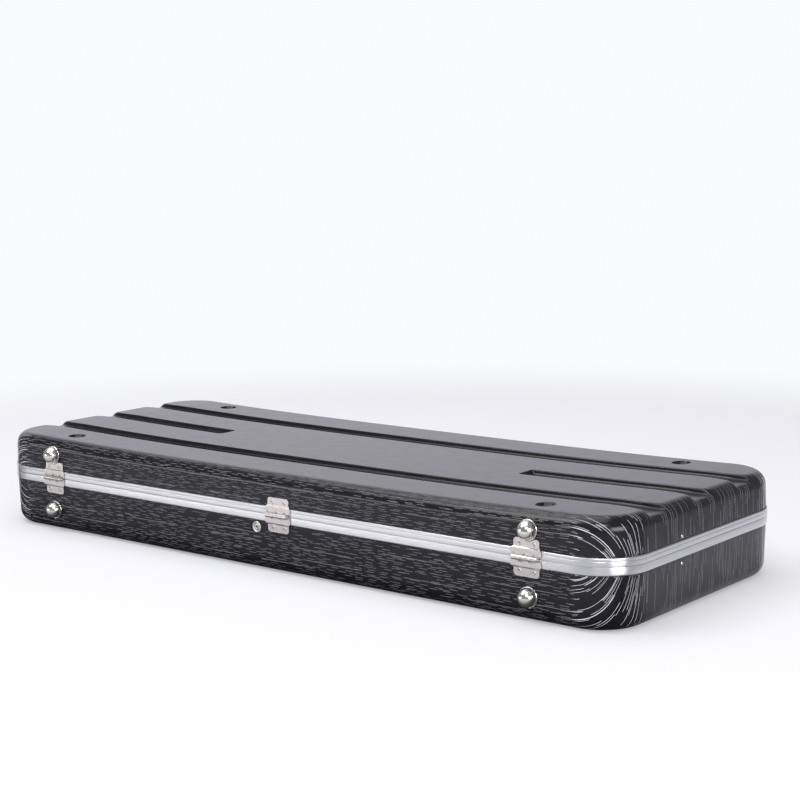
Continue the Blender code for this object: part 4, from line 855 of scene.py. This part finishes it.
# %% [markdown]
# ## Places on the walls, and three ways to make a closed body
#
# The fittings stand on drafted walls, so one function gives any point by its distance out from the wall and
# its height from the parting line. A slab joins two equal grids by strips along their edges. A turned body
# carries a profile of radius and height round an axis. A carried one takes a section along a path.

# %% Body helpers
PIN_OUT = 0.0048


def on_wall(side, x, out, rise):
    """Points that stand out from the face of a long wall, at heights from the parting line."""
    y = side * (HALF_WIDTH - wall_inset(np.abs(rise)) + out)
    return grid_of(x, y, PARTING + rise)


def wall_normal(side, rise):
    """The direction straight out from a long wall above or below its straight edge."""
    return np.array([0.0, side, DRAFT * np.sign(rise)])


def slab(front, back):
    """A closed body from two equal grids: both faces, and the strips between their edges."""
    strips = [np.stack([front[0], back[0]]), np.stack([front[-1], back[-1]])]
    strips += [np.stack([front[:, 0], back[:, 0]]), np.stack([front[:, -1], back[:, -1]])]
    return [front, back, *strips]


def turned(profile, centre, axis, steps):
    """A profile of (radius, height) in millimetres, turned about an axis that leaves a centre."""
    radius, height = np.array(profile, float).T * MM
    axis = np.array(axis, float) / np.linalg.norm(axis)
    first = np.cross(axis, (1.0, 0.0, 0.0) if abs(axis[0]) < 0.9 else (0.0, 1.0, 0.0))
    first /= np.linalg.norm(first)
    second = np.cross(axis, first)
    turn = np.linspace(0, 2 * np.pi, steps + 1)
    around = np.cos(turn)[:, None] * first + np.sin(turn)[:, None] * second
    return np.array(centre) + radius[:, None, None] * around + height[:, None, None] * axis


def carried(path, radius, normal, steps=14):
    """A round wire along a path that stays in one plane, closed to a point at each end."""
    along = np.gradient(path, axis=0)
    along /= np.linalg.norm(along, axis=1)[:, None]
    normal = np.array(normal) / np.linalg.norm(normal)
    beside = np.cross(normal, along)
    turn = np.linspace(0, 2 * np.pi, steps + 1)
    around = np.cos(turn)[:, None] * normal + np.sin(turn)[:, None] * beside[:, None]
    rings = path[:, None] + radius * around
    ends = [np.repeat(path[k][None, None], steps + 1, axis=1) for k in (0, -1)]
    return np.concatenate([ends[0], rings, ends[1]])


print("body helpers are ready")

# %% [markdown]
# ## The hinges
#
# Each leaf is stamped from thin sheet: a riveted flange on the wall, a bend over the rim, and a wider plate
# whose lower edge is cut into tongues that curl round the pin. The leaf's face is a grid whose rows follow
# the outline, narrow at the rounded end and wide at the shoulders. Where the other leaf's knuckles turn,
# the edge is cut back, which leaves the short dark slots that show in a hinge like this.

# %% The hinges
# Heights above the pin and distances from the leaf's middle, all in millimetres.
LEAF_ROUND = 4.0
LEAF_STRAIGHT, LEAF_BEND, LEAF_CUT = 18.2, 12.4, 5.2
LEAF_TOP = LEAF_STRAIGHT + LEAF_ROUND
FLANGE_HALF, PLATE_HALF, SHOULDER_FROM, SHOULDER = 17.5, 21.0, 12.9, 3.5
KNUCKLE, KNUCKLE_OUT, KNUCKLE_IN, TONGUE_TOP, CUT_LOW = 7.0, 3.0, 1.8, 3.3, 3.0
KNUCKLE_EDGES = np.linspace(-2.5, 2.5, 6) * KNUCKLE
LEAF_OUT, LEAF_RAISED, LEAF_THICK = 1.5, 1.5, 1.2
BUMPER_CLEARANCE, BUMPER_RISE = 13.2, 32.0
RIVET_X, RIVET_RISE = 10.0, 16.1
RIVET = [(0, -0.3), (2.7, -0.3), (2.8, 0.2), (2.65, 0.6), (2.35, 0.8), (2.05, 0.7), (1.7, 0.2), (1.1, 0.0)]
RIVET += [(0, 0.0)]


def leaf_half_width(rise):
    """Half the leaf's width: a rounded end, the flange, two sloping shoulders, the plate."""
    past = np.clip(rise - LEAF_STRAIGHT, 0, LEAF_ROUND)
    corner = FLANGE_HALF - LEAF_ROUND + np.sqrt(np.clip(LEAF_ROUND**2 - past**2, 0, None))
    shoulder = FLANGE_HALF + np.clip(SHOULDER_FROM - rise, 0, SHOULDER)
    return np.where(rise > LEAF_STRAIGHT, corner, shoulder)


def leaf_plate(x0, up, own, notch):
    """The leaf's stamped sheet, from its cut edge by the knuckles up to its rounded end.

    The first row is the cut edge. It is low beyond the knuckles and at this leaf's own ones, and high at
    the other's. A notch squeezes the flange down so that it leaves a round gap for a bumper.
    """
    u = np.concatenate([[-PLATE_HALF, PLATE_HALF], KNUCKLE_EDGES - 0.1, KNUCKLE_EDGES + 0.1])
    u = filled(u, 1.2)
    rises = [CUT_LOW, 5.9, 7, 8.5, 9.4, 10.4, 10.7, 11.0, 11.3, 11.6, 12.0, LEAF_BEND]
    rises += [SHOULDER_FROM, 14, 15.5, 17, LEAF_STRAIGHT]
    end = LEAF_STRAIGHT + LEAF_ROUND * np.sin(np.linspace(0.15, np.pi / 2, 9))
    rises = np.concatenate([rises, end])
    x = u[:, None] / PLATE_HALF * leaf_half_width(rises)
    rise = np.broadcast_to(rises, x.shape).copy()
    knuckle = np.floor((u - KNUCKLE_EDGES[0]) / KNUCKLE)
    beyond = np.abs(u) > KNUCKLE_EDGES[-1]
    mine = (knuckle % 2 == own) & ~beyond
    rise[:, 0] = np.where(beyond, CUT_LOW, np.where(mine, TONGUE_TOP, LEAF_CUT))
    if notch is not None:
        top = BUMPER_RISE - np.sqrt(np.clip(BUMPER_CLEARANCE**2 - (x - notch) ** 2, 0, None))
        top = np.minimum(LEAF_TOP, top)
        squeezed = LEAF_BEND + (rise - LEAF_BEND) * (top - LEAF_BEND) / (LEAF_TOP - LEAF_BEND)
        rise = np.where(rise > LEAF_BEND, squeezed, rise)
    out = LEAF_OUT + LEAF_RAISED * smoothstep((LEAF_BEND - rise) / 2)
    faces = [on_wall(-1, x0 + x * MM, o * MM, up * rise * MM) for o in (out, out - LEAF_THICK)]
    return slab(*faces)


def knuckle_curl(x0, up, index):
    """A tongue that runs down from the plate and curls round the pin."""
    turn = np.radians(np.linspace(180, 472, 34))
    straight = np.array([[TONGUE_TOP, 2.2, 1.1]]).T
    faces = []
    for radius, out in ((KNUCKLE_OUT, KNUCKLE_IN), (KNUCKLE_IN, KNUCKLE_OUT)):
        arc = np.column_stack([PIN_OUT / MM + radius * np.cos(turn), radius * np.sin(turn)])
        faces.append(np.concatenate([np.hstack([np.full((3, 1), out), straight]), arc]))
    low, high = KNUCKLE_EDGES[index] + 0.15, KNUCKLE_EDGES[index + 1] - 0.15
    x = x0 + np.linspace(low, high, 3) * MM
    grids = [on_wall(-1, x[None, :], f[:, 0:1] * MM, up * f[:, 1:2] * MM) for f in faces]
    return slab(*grids)


def hinge_leaf(name, x0, up, notch=None):
    """One leaf with its knuckles and two dished rivets."""
    own = 1 if up > 0 else 0
    patches = leaf_plate(x0, up, own, notch)
    for index in range(own, 5, 2):
        patches += knuckle_curl(x0, up, index)
    for x in (-RIVET_X, RIVET_X):
        centre = on_wall(-1, x0 + x * MM, LEAF_OUT * MM, up * RIVET_RISE * MM)
        patches.append(turned(RIVET, centre, wall_normal(-1, up), 24))
    leaf = put_in(name, "stamped", patches, NICKEL, "lid" if up > 0 else "base", smooth=38.0)
    eased(leaf, 0.14 * MM)


def hinge_pin(name, x0):
    """The pin, with a domed head at each end."""
    half = [(0.9, 18.55), (1.3, 18.25), (1.4, 17.8)]
    profile = [(0, -18.65), *[(r, -h) for r, h in half], *half[::-1], (0, 18.65)]
    centre = on_wall(-1, x0, PIN_OUT, 0.0)
    put_in(name, "turned", [turned(profile, centre, (1, 0, 0), 20)], STEEL, "base")


for side, x0, dome in (("left", -0.401, -2.0), ("middle", 0.023, None), ("right", 0.401, 2.0)):
    hinge_leaf(f"hinge_{side}_upper_leaf", x0, 1, dome)
    hinge_leaf(f"hinge_{side}_lower_leaf", x0, -1)
    hinge_pin(f"hinge_{side}_pin", x0)

# %% [markdown]
# ## Bumpers, eyelet and strap rivets
#
# Four polished domes sit in pressed cups, so that the case stands on them when it is put down on its long
# side. They are turned bodies: the profile goes up the cup's wall, over its lip, down into the gap, and
# over the dome. The eyelet and the rivets are made the same way. Profiles are (radius, height) in mm.

# %% The turned fittings
DOME_RADIUS, DOME_BASE, DOME_HEIGHT = 11.2, 4.6, 11.4
BUMPER_CUP = [(0, 0.3), (12.2, 0.3), (12.6, 0.6), (12.75, 1.6), (12.7, 2.3), (12.4, 2.65), (12.1, 2.55)]
BUMPER_CUP += [(11.95, 1.9), (11.85, 1.0), (11.0, 1.0), (11.15, 2.0), (DOME_RADIUS, 3.0)]
lift = np.linspace(0.0, np.pi / 2, 40)
bumper_dome = np.column_stack([DOME_RADIUS * np.cos(lift), DOME_BASE + DOME_HEIGHT * np.sin(lift)])
BUMPER = np.concatenate([BUMPER_CUP, bumper_dome])
EYELET = [(1.4, 0.3), (7.2, 0.3), (7.2, 0.9), (6.8, 1.3), (6.2, 1.4), (5.6, 1.2), (5.2, 0.6), (4.7, 0.4)]
EYELET += [(4.2, 0.6), (3.8, 1.2), (3.2, 1.55), (2.4, 1.55), (1.7, 1.2), (1.4, 0.8), (1.4, 0.3)]
STRAP_Y, STRAP_LOW, STRAP_HIGH = -0.057, -0.017, 0.0145
STRAP_RIVET = [(0, 0.0), (2.2, 0.0), (2.2, 0.35), (1.9, 0.8), (1.3, 1.1), (0.6, 1.22), (0, 1.25)]

for side, x0 in (("left", -0.403), ("right", 0.403)):
    for level, rise, body in (("upper", 0.032, "lid"), ("lower", -0.0455, "base")):
        node = f"bumper_{side}_{level}"
        dome = turned(BUMPER, on_wall(-1, x0, 0.0, rise), wall_normal(-1, rise), 48)
        put_in(node, "turned", [dome], BRIGHT_NICKEL, body, smooth=50.0)

rim_of_hole = turned(EYELET, on_wall(-1, -0.015, 0.0, -0.0195), wall_normal(-1, -1), 40)
put_in("wall_eyelet", "turned", [rim_of_hole], NICKEL, "base")

for level, rise, body in (("upper", STRAP_HIGH, "lid"), ("lower", STRAP_LOW, "base")):
    node = f"strap_rivet_{level}"
    place = (HALF_LENGTH - float(wall_inset(abs(rise))), STRAP_Y, PARTING + rise)
    head = turned(STRAP_RIVET, place, (1.0, 0.0, DRAFT * np.sign(rise)), 24)
    put_in(node, "turned", [head], BRIGHT_NICKEL, body)

# %% [markdown]
# ## The latches
#
# A draw latch pulls the lid down with a wire bail. The bail is a round wire carried along a path with small
# bends. The plate, lever and keeper are stamped, and their solids already have the right flat faces, so a
# copy of each solid is merged into whole faces and its edges are rounded with a bevel.

# %% Copies with rounded edges
def whole_faced(name, nodes):
    """A new object from copies of solids, in the case's frame, with flat triangles merged into faces."""
    bm = bmesh.new()
    for node in nodes:
        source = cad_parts[node]
        mesh = source.data.copy()
        mesh.transform(source.matrix_world)
        bm.from_mesh(mesh)
        bpy.data.meshes.remove(mesh)
    bmesh.ops.remove_doubles(bm, verts=bm.verts, dist=1e-6)
    bmesh.ops.dissolve_limit(bm, angle_limit=math.radians(0.5), verts=bm.verts, edges=bm.edges)
    mesh = bpy.data.meshes.new(name)
    bm.to_mesh(mesh)
    bm.free()
    obj = bpy.data.objects.new(name, mesh)
    bpy.context.scene.collection.objects.link(obj)
    return obj


def rounded_copy(node, finish, body, width):
    """A copy of one solid with its edges rounded, in its place."""
    obj = whole_faced(f"{node}_formed", [node])
    obj.data.shade_smooth()
    obj.data.set_sharp_from_angle(angle=math.radians(35.0))
    eased(obj, width * MM)
    finish_piece(obj, finish, body, [node])


# %% The four latches
LATCH_X = (-0.400, -0.165, 0.165, 0.400)
LATCH_PIN_YZ = (0.2016, 0.061)
LATCH_PIN = [(0, -9.45), (1.0, -9.4), (1.2, -9.2), (1.2, 9.2), (1.0, 9.4), (0, 9.45)]
# The bail's path: millimetres from the latch's middle, and a share of the way from its low to its high end.
BAIL_LOW, BAIL_HIGH = np.array([0.2001, 0.0530]), np.array([0.1995, 0.0833])
BAIL_CORNERS = [(-4.8, 0), (-11.8, 0), (-11.8, 1), (11.8, 1), (11.8, 0), (4.8, 0)]
BAIL_BEND, BAIL_RADIUS = 0.003, 0.0013

for number, x0 in enumerate(LATCH_X, start=1):
    name = f"latch_{number}"
    rounded_copy(f"{name}_plate", NICKEL, "base", 0.30)
    rounded_copy(f"{name}_lever", NICKEL, f"{name}_lever", 0.40)
    rounded_copy(f"{name}_keeper", NICKEL, "lid", 0.30)
    climb = BAIL_HIGH - BAIL_LOW
    p = np.array([(x0 + x * MM, *(BAIL_LOW + climb * share)) for x, share in BAIL_CORNERS])
    bends = corner_curves(p[:-2], p[1:-1], p[2:], BAIL_BEND, 6)
    path = np.concatenate([p[:1], bends, p[-1:]])
    wire = carried(path, BAIL_RADIUS, (0.0, climb[1], -climb[0]))
    put_in(f"{name}_bail", "bent", [wire], BRIGHT_NICKEL, f"{name}_bail")
    shaft = turned(LATCH_PIN, (x0, *LATCH_PIN_YZ), (1, 0, 0), 18)
    put_in(f"{name}_pin", "turned", [shaft], STEEL, "base")

# %% [markdown]
# ## The handle
#
# The grip is moulded in one piece with its two arms. An oval bar that swells towards the middle is joined
# to two arms with round tops. The joined body is remeshed as voxels, so the pieces become one skin, and
# then smoothed, which rounds the inside corners as a mould does.

# %% Handle, brackets and pins
def moulded(obj, voxel, rounds):
    """Makes overlapping closed bodies one skin, and smooths it."""
    remesh = obj.modifiers.new("voxels", "REMESH")
    remesh.mode = "VOXEL"
    remesh.voxel_size = voxel
    smooth = obj.modifiers.new("smooth", "SMOOTH")
    smooth.factor = 0.5
    smooth.iterations = rounds
    settled(obj)
    obj.data.shade_smooth()


ARM_X, ARM_HALF, ARM_TOP = 0.072, 0.005, 6.2
HANDLE_PIN_Y, HANDLE_PIN_Z = 0.203, 0.054
HANDLE_PIN = [(0, -7.9), (2.0, -7.8), (2.5, -7.4), (2.5, 7.4), (2.0, 7.8), (0, 7.9)]
GRIP_HALF, GRIP_Y, GRIP_Z, GRIP_OUT, GRIP_UP = 0.077, 0.204, 0.024, 0.0080, 0.0110
GRIP_TAPER, GRIP_END, GRIP_SQUARE = 0.12, 0.06, 0.85
GRIP_VOXEL, GRIP_ROUNDS = 0.0010, 5


def grip_patches():
    """The bar's skin as rings along X, and a block with a round top for each arm.

    A ring is the oval (c |c|^-0.15, s |s|^-0.15) of a turn's cosine and sine, which is a little squarer
    than an ellipse. It shrinks by a taper times x squared, and to a point over the last of each end.
    """
    share = np.sin(np.linspace(-np.pi / 2, np.pi / 2, 61))
    end = np.clip((np.abs(share) - 1 + GRIP_END) / GRIP_END, 0, 1)
    swell = (1 - GRIP_TAPER * share**2) * np.sqrt(1 - end**2)
    turn = np.linspace(0, 2 * np.pi, 49)
    cosine, sine = np.cos(turn), np.sin(turn)
    across = np.sign(cosine) * np.abs(cosine) ** GRIP_SQUARE
    upright = np.sign(sine) * np.abs(sine) ** GRIP_SQUARE
    y = GRIP_Y + GRIP_OUT * swell[:, None] * across
    z = GRIP_Z + GRIP_UP * swell[:, None] * upright
    patches = [grid_of(share[:, None] * GRIP_HALF, y, z)]
    turn = np.linspace(0, np.pi / 2, 12)
    height = np.concatenate([[-30.0, -20.0, -10.0], ARM_TOP * np.sin(turn)])
    half = np.concatenate([[ARM_TOP] * 3, ARM_TOP * np.cos(turn)])
    y = HANDLE_PIN_Y + np.linspace(-1, 1, 9) * half[:, None] * MM
    z = HANDLE_PIN_Z + height[:, None] * MM
    for x0 in (-ARM_X, ARM_X):
        patches += slab(grid_of(x0 - ARM_HALF, y, z), grid_of(x0 + ARM_HALF, y, z))
    return patches


grip = mesh_object("handle_grip_moulded", grip_patches())
moulded(grip, GRIP_VOXEL, GRIP_ROUNDS)
finish_piece(grip, RUBBER, "handle", ["handle_grip"])
for side, x0 in (("left", -ARM_X), ("right", ARM_X)):
    rounded_copy(f"handle_bracket_{side}", NICKEL, "base", 0.35)
    shaft = turned(HANDLE_PIN, (x0, HANDLE_PIN_Y, HANDLE_PIN_Z), (1, 0, 0), 24)
    put_in(f"handle_pin_{side}", "turned", [shaft], STEEL, "base")

# %% [markdown]
# ## The padding
#
# Foam cut to shape and covered with plush has no sharp edge. The solids of the foam and of the plush over
# it are copied, joined as voxels and smoothed, which rolls every edge over by a few millimetres. A soft,
# slow wave then lifts and lowers the faces a little, as glued plush does. A cloth simulation would need the
# whole bed to swell, which a moulded bed doesn't do, so none is run.

# %% Bed, lid padding and neck cradle
PLUSH_ROUNDS = 4
WAVE_SIZE, WAVE_HEIGHT, WAVE_SINKS = 0.045, 0.0006, 0.0005


def soft_wave(points):
    """A slow random looking wave: the mean of three sines that cross at odd angles, sunk a little."""
    x, y, z = (points / WAVE_SIZE).T
    wave = np.sin(x * 1.7 + 2.1 * y + 0.4) + np.sin(2.9 * y - 1.3 * x + 1.9 * z)
    return (wave + np.sin(2.3 * x + 0.7 * z + 2.0)) / 3 * WAVE_HEIGHT - WAVE_SINKS


def read_vectors(items, key):
    """One vector of each item, as an array with three columns."""
    flat = np.empty(len(items) * 3, dtype=np.float32)
    items.foreach_get(key, flat)
    return flat.reshape(-1, 3)


def padding(name, nodes, voxel, body):
    """A soft piece from copies of solids, smoothed and gently uneven."""
    obj = whole_faced(name, nodes)
    moulded(obj, voxel, PLUSH_ROUNDS)
    mesh = obj.data
    points = read_vectors(mesh.vertices, "co")
    normals = read_vectors(mesh.vertex_normals, "vector")
    mesh.vertices.foreach_set("co", (points + normals * soft_wave(points)[:, None]).ravel())
    mesh.update()
    finish_piece(obj, PLUSH, body, nodes)


padding("bed_padding", ["base_foam", "base_lining"], 0.0040, "base")
lid_foam = [f"lid_foam_{part}" for part in ("pad", "front", "back", "left", "right")]
padding("lid_padding", [*lid_foam, "lid_lining"], 0.0040, "lid")
padding("neck_cradle_padding", ["neck_cradle"], 0.0025, "base")

# %% [markdown]
# ## Accessory box, cover and tab
#
# The box is board with eased edges, and its cover is board under plush. The tab is a ribbon folded back on
# itself, and the strap is a flat band. Both are grids of their middle surface, thickened with Solidify, and
# carry their own places along and across for the weave.

# %% The box and its cover
rounded_copy("accessory_box", BOARD, "base", 0.6)
rounded_copy("accessory_cover", PLUSH, "accessory_cover", 1.2)

# %% The pull tab
ACROSS = np.linspace(-0.5, 0.5, 9)


def ribbon(name, middle, along, width, thick):
    """A thin band from a grid of its middle surface, thickened, with its places along and across."""
    places = grid_of(along[:, None], ACROSS * width, 0.0)
    obj = mesh_object(name, [middle], [places], smooth=60.0, outwards=False)
    solid = obj.modifiers.new("thickness", "SOLIDIFY")
    solid.thickness = thick
    solid.offset = 0.0
    return obj


TAB_X, TAB_WIDTH, TAB_THICK = 0.103, 0.0158, 0.0008
TAB_SEWN, TAB_FOLD, TAB_MIDDLE_Z, TAB_TURN = 0.0800, 0.1012, 0.06875, 0.00115
TAB_SETTLES, TAB_SETTLES_OVER = 0.0009, 0.014

# The lower layer, half a turn round the fold, and the upper layer, which settles on the lower one.
lower = np.linspace(TAB_SEWN, TAB_FOLD, 14)
turn = np.linspace(-np.pi / 2, np.pi / 2, 14)[1:-1]
upper = lower[::-1]
tab_y = np.concatenate([lower, TAB_FOLD + TAB_TURN * np.cos(turn), upper])
lower_z, fold_z = np.full(14, TAB_MIDDLE_Z - TAB_TURN), TAB_MIDDLE_Z + TAB_TURN * np.sin(turn)
upper_z = TAB_MIDDLE_Z + TAB_TURN - TAB_SETTLES * smoothstep((TAB_FOLD - upper) / TAB_SETTLES_OVER)
tab_z = np.concatenate([lower_z, fold_z, upper_z])
tab_along = along_path(np.column_stack([tab_y, tab_z]))
tab_x = TAB_X + ACROSS * TAB_WIDTH
middle = grid_of(tab_x, tab_y[:, None], tab_z[:, None])
tab = ribbon("pull_tab_folded", middle, tab_along, TAB_WIDTH, TAB_THICK)
finish_piece(tab, WEBBING, "accessory_cover", ["accessory_pull_tab"])
print("tab length", round(float(tab_along[-1]) * 1000, 1), "mm")

# %% [markdown]
# ## The lid strap
#
# The strap is riveted to the base and to the lid, and is straight and tight when the lid stands open. At
# rest it lies in a bow beside the wall. Its rest shape is worked out as if each point turned between the
# two bodies by a share of the lid's turn that rises smoothly with its height. The open strap is therefore
# drawn first, as a straight band, and each of its points is turned back by its share, which is found by
# halving an interval.

# %% The strap
HINGE_Y, OPEN_ANGLE = -(HALF_WIDTH + PIN_OUT), math.radians(100)
STRAP_X, STRAP_WIDTH, STRAP_THICK = 0.5133, 0.018, 0.0012
HALVINGS = 50


def rest_angle(radius, opened):
    """The rest angle of a strap point about the hinge, from its angle with the lid open.

    It is the angle a for which a + open angle * smoothstep(share of the height radius * sin a) = opened.
    """
    low = np.full_like(radius, -math.pi / 2)
    high = np.full_like(radius, math.pi / 2)
    for _ in range(HALVINGS):
        middle = (low + high) / 2
        share = (radius * np.sin(middle) - STRAP_LOW) / (STRAP_HIGH - STRAP_LOW)
        too_low = middle + OPEN_ANGLE * smoothstep(share) < opened
        low = np.where(too_low, middle, low)
        high = np.where(too_low, high, middle)
    return (low + high) / 2


start = np.array([STRAP_Y - HINGE_Y, STRAP_LOW])
shut = np.array([STRAP_Y - HINGE_Y, STRAP_HIGH])
cosine, sine = math.cos(OPEN_ANGLE), math.sin(OPEN_ANGLE)
end = np.array([cosine * shut[0] - sine * shut[1], sine * shut[0] + cosine * shut[1]])
strap_length = float(np.linalg.norm(end - start))
along = (end - start) / strap_length
beside = np.array([-along[1], along[0]])
steps = np.linspace(0, 1, 61)
opened = start + steps[:, None, None] * (end - start) + ACROSS[None, :, None] * STRAP_WIDTH * beside
radius = np.hypot(opened[..., 0], opened[..., 1])
angle = rest_angle(radius, np.arctan2(opened[..., 1], opened[..., 0]))
strap_y, strap_z = HINGE_Y + radius * np.cos(angle), PARTING + radius * np.sin(angle)
strap_grid = grid_of(STRAP_X, strap_y, strap_z)
strap = ribbon("lid_strap_woven", strap_grid, steps * strap_length, STRAP_WIDTH, STRAP_THICK)
settled(strap)
strap.data.materials.append(WEBBING)
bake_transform(strap)
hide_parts("lid_strap")
print("strap", round(strap_length * 1000, 1), "mm long when open")
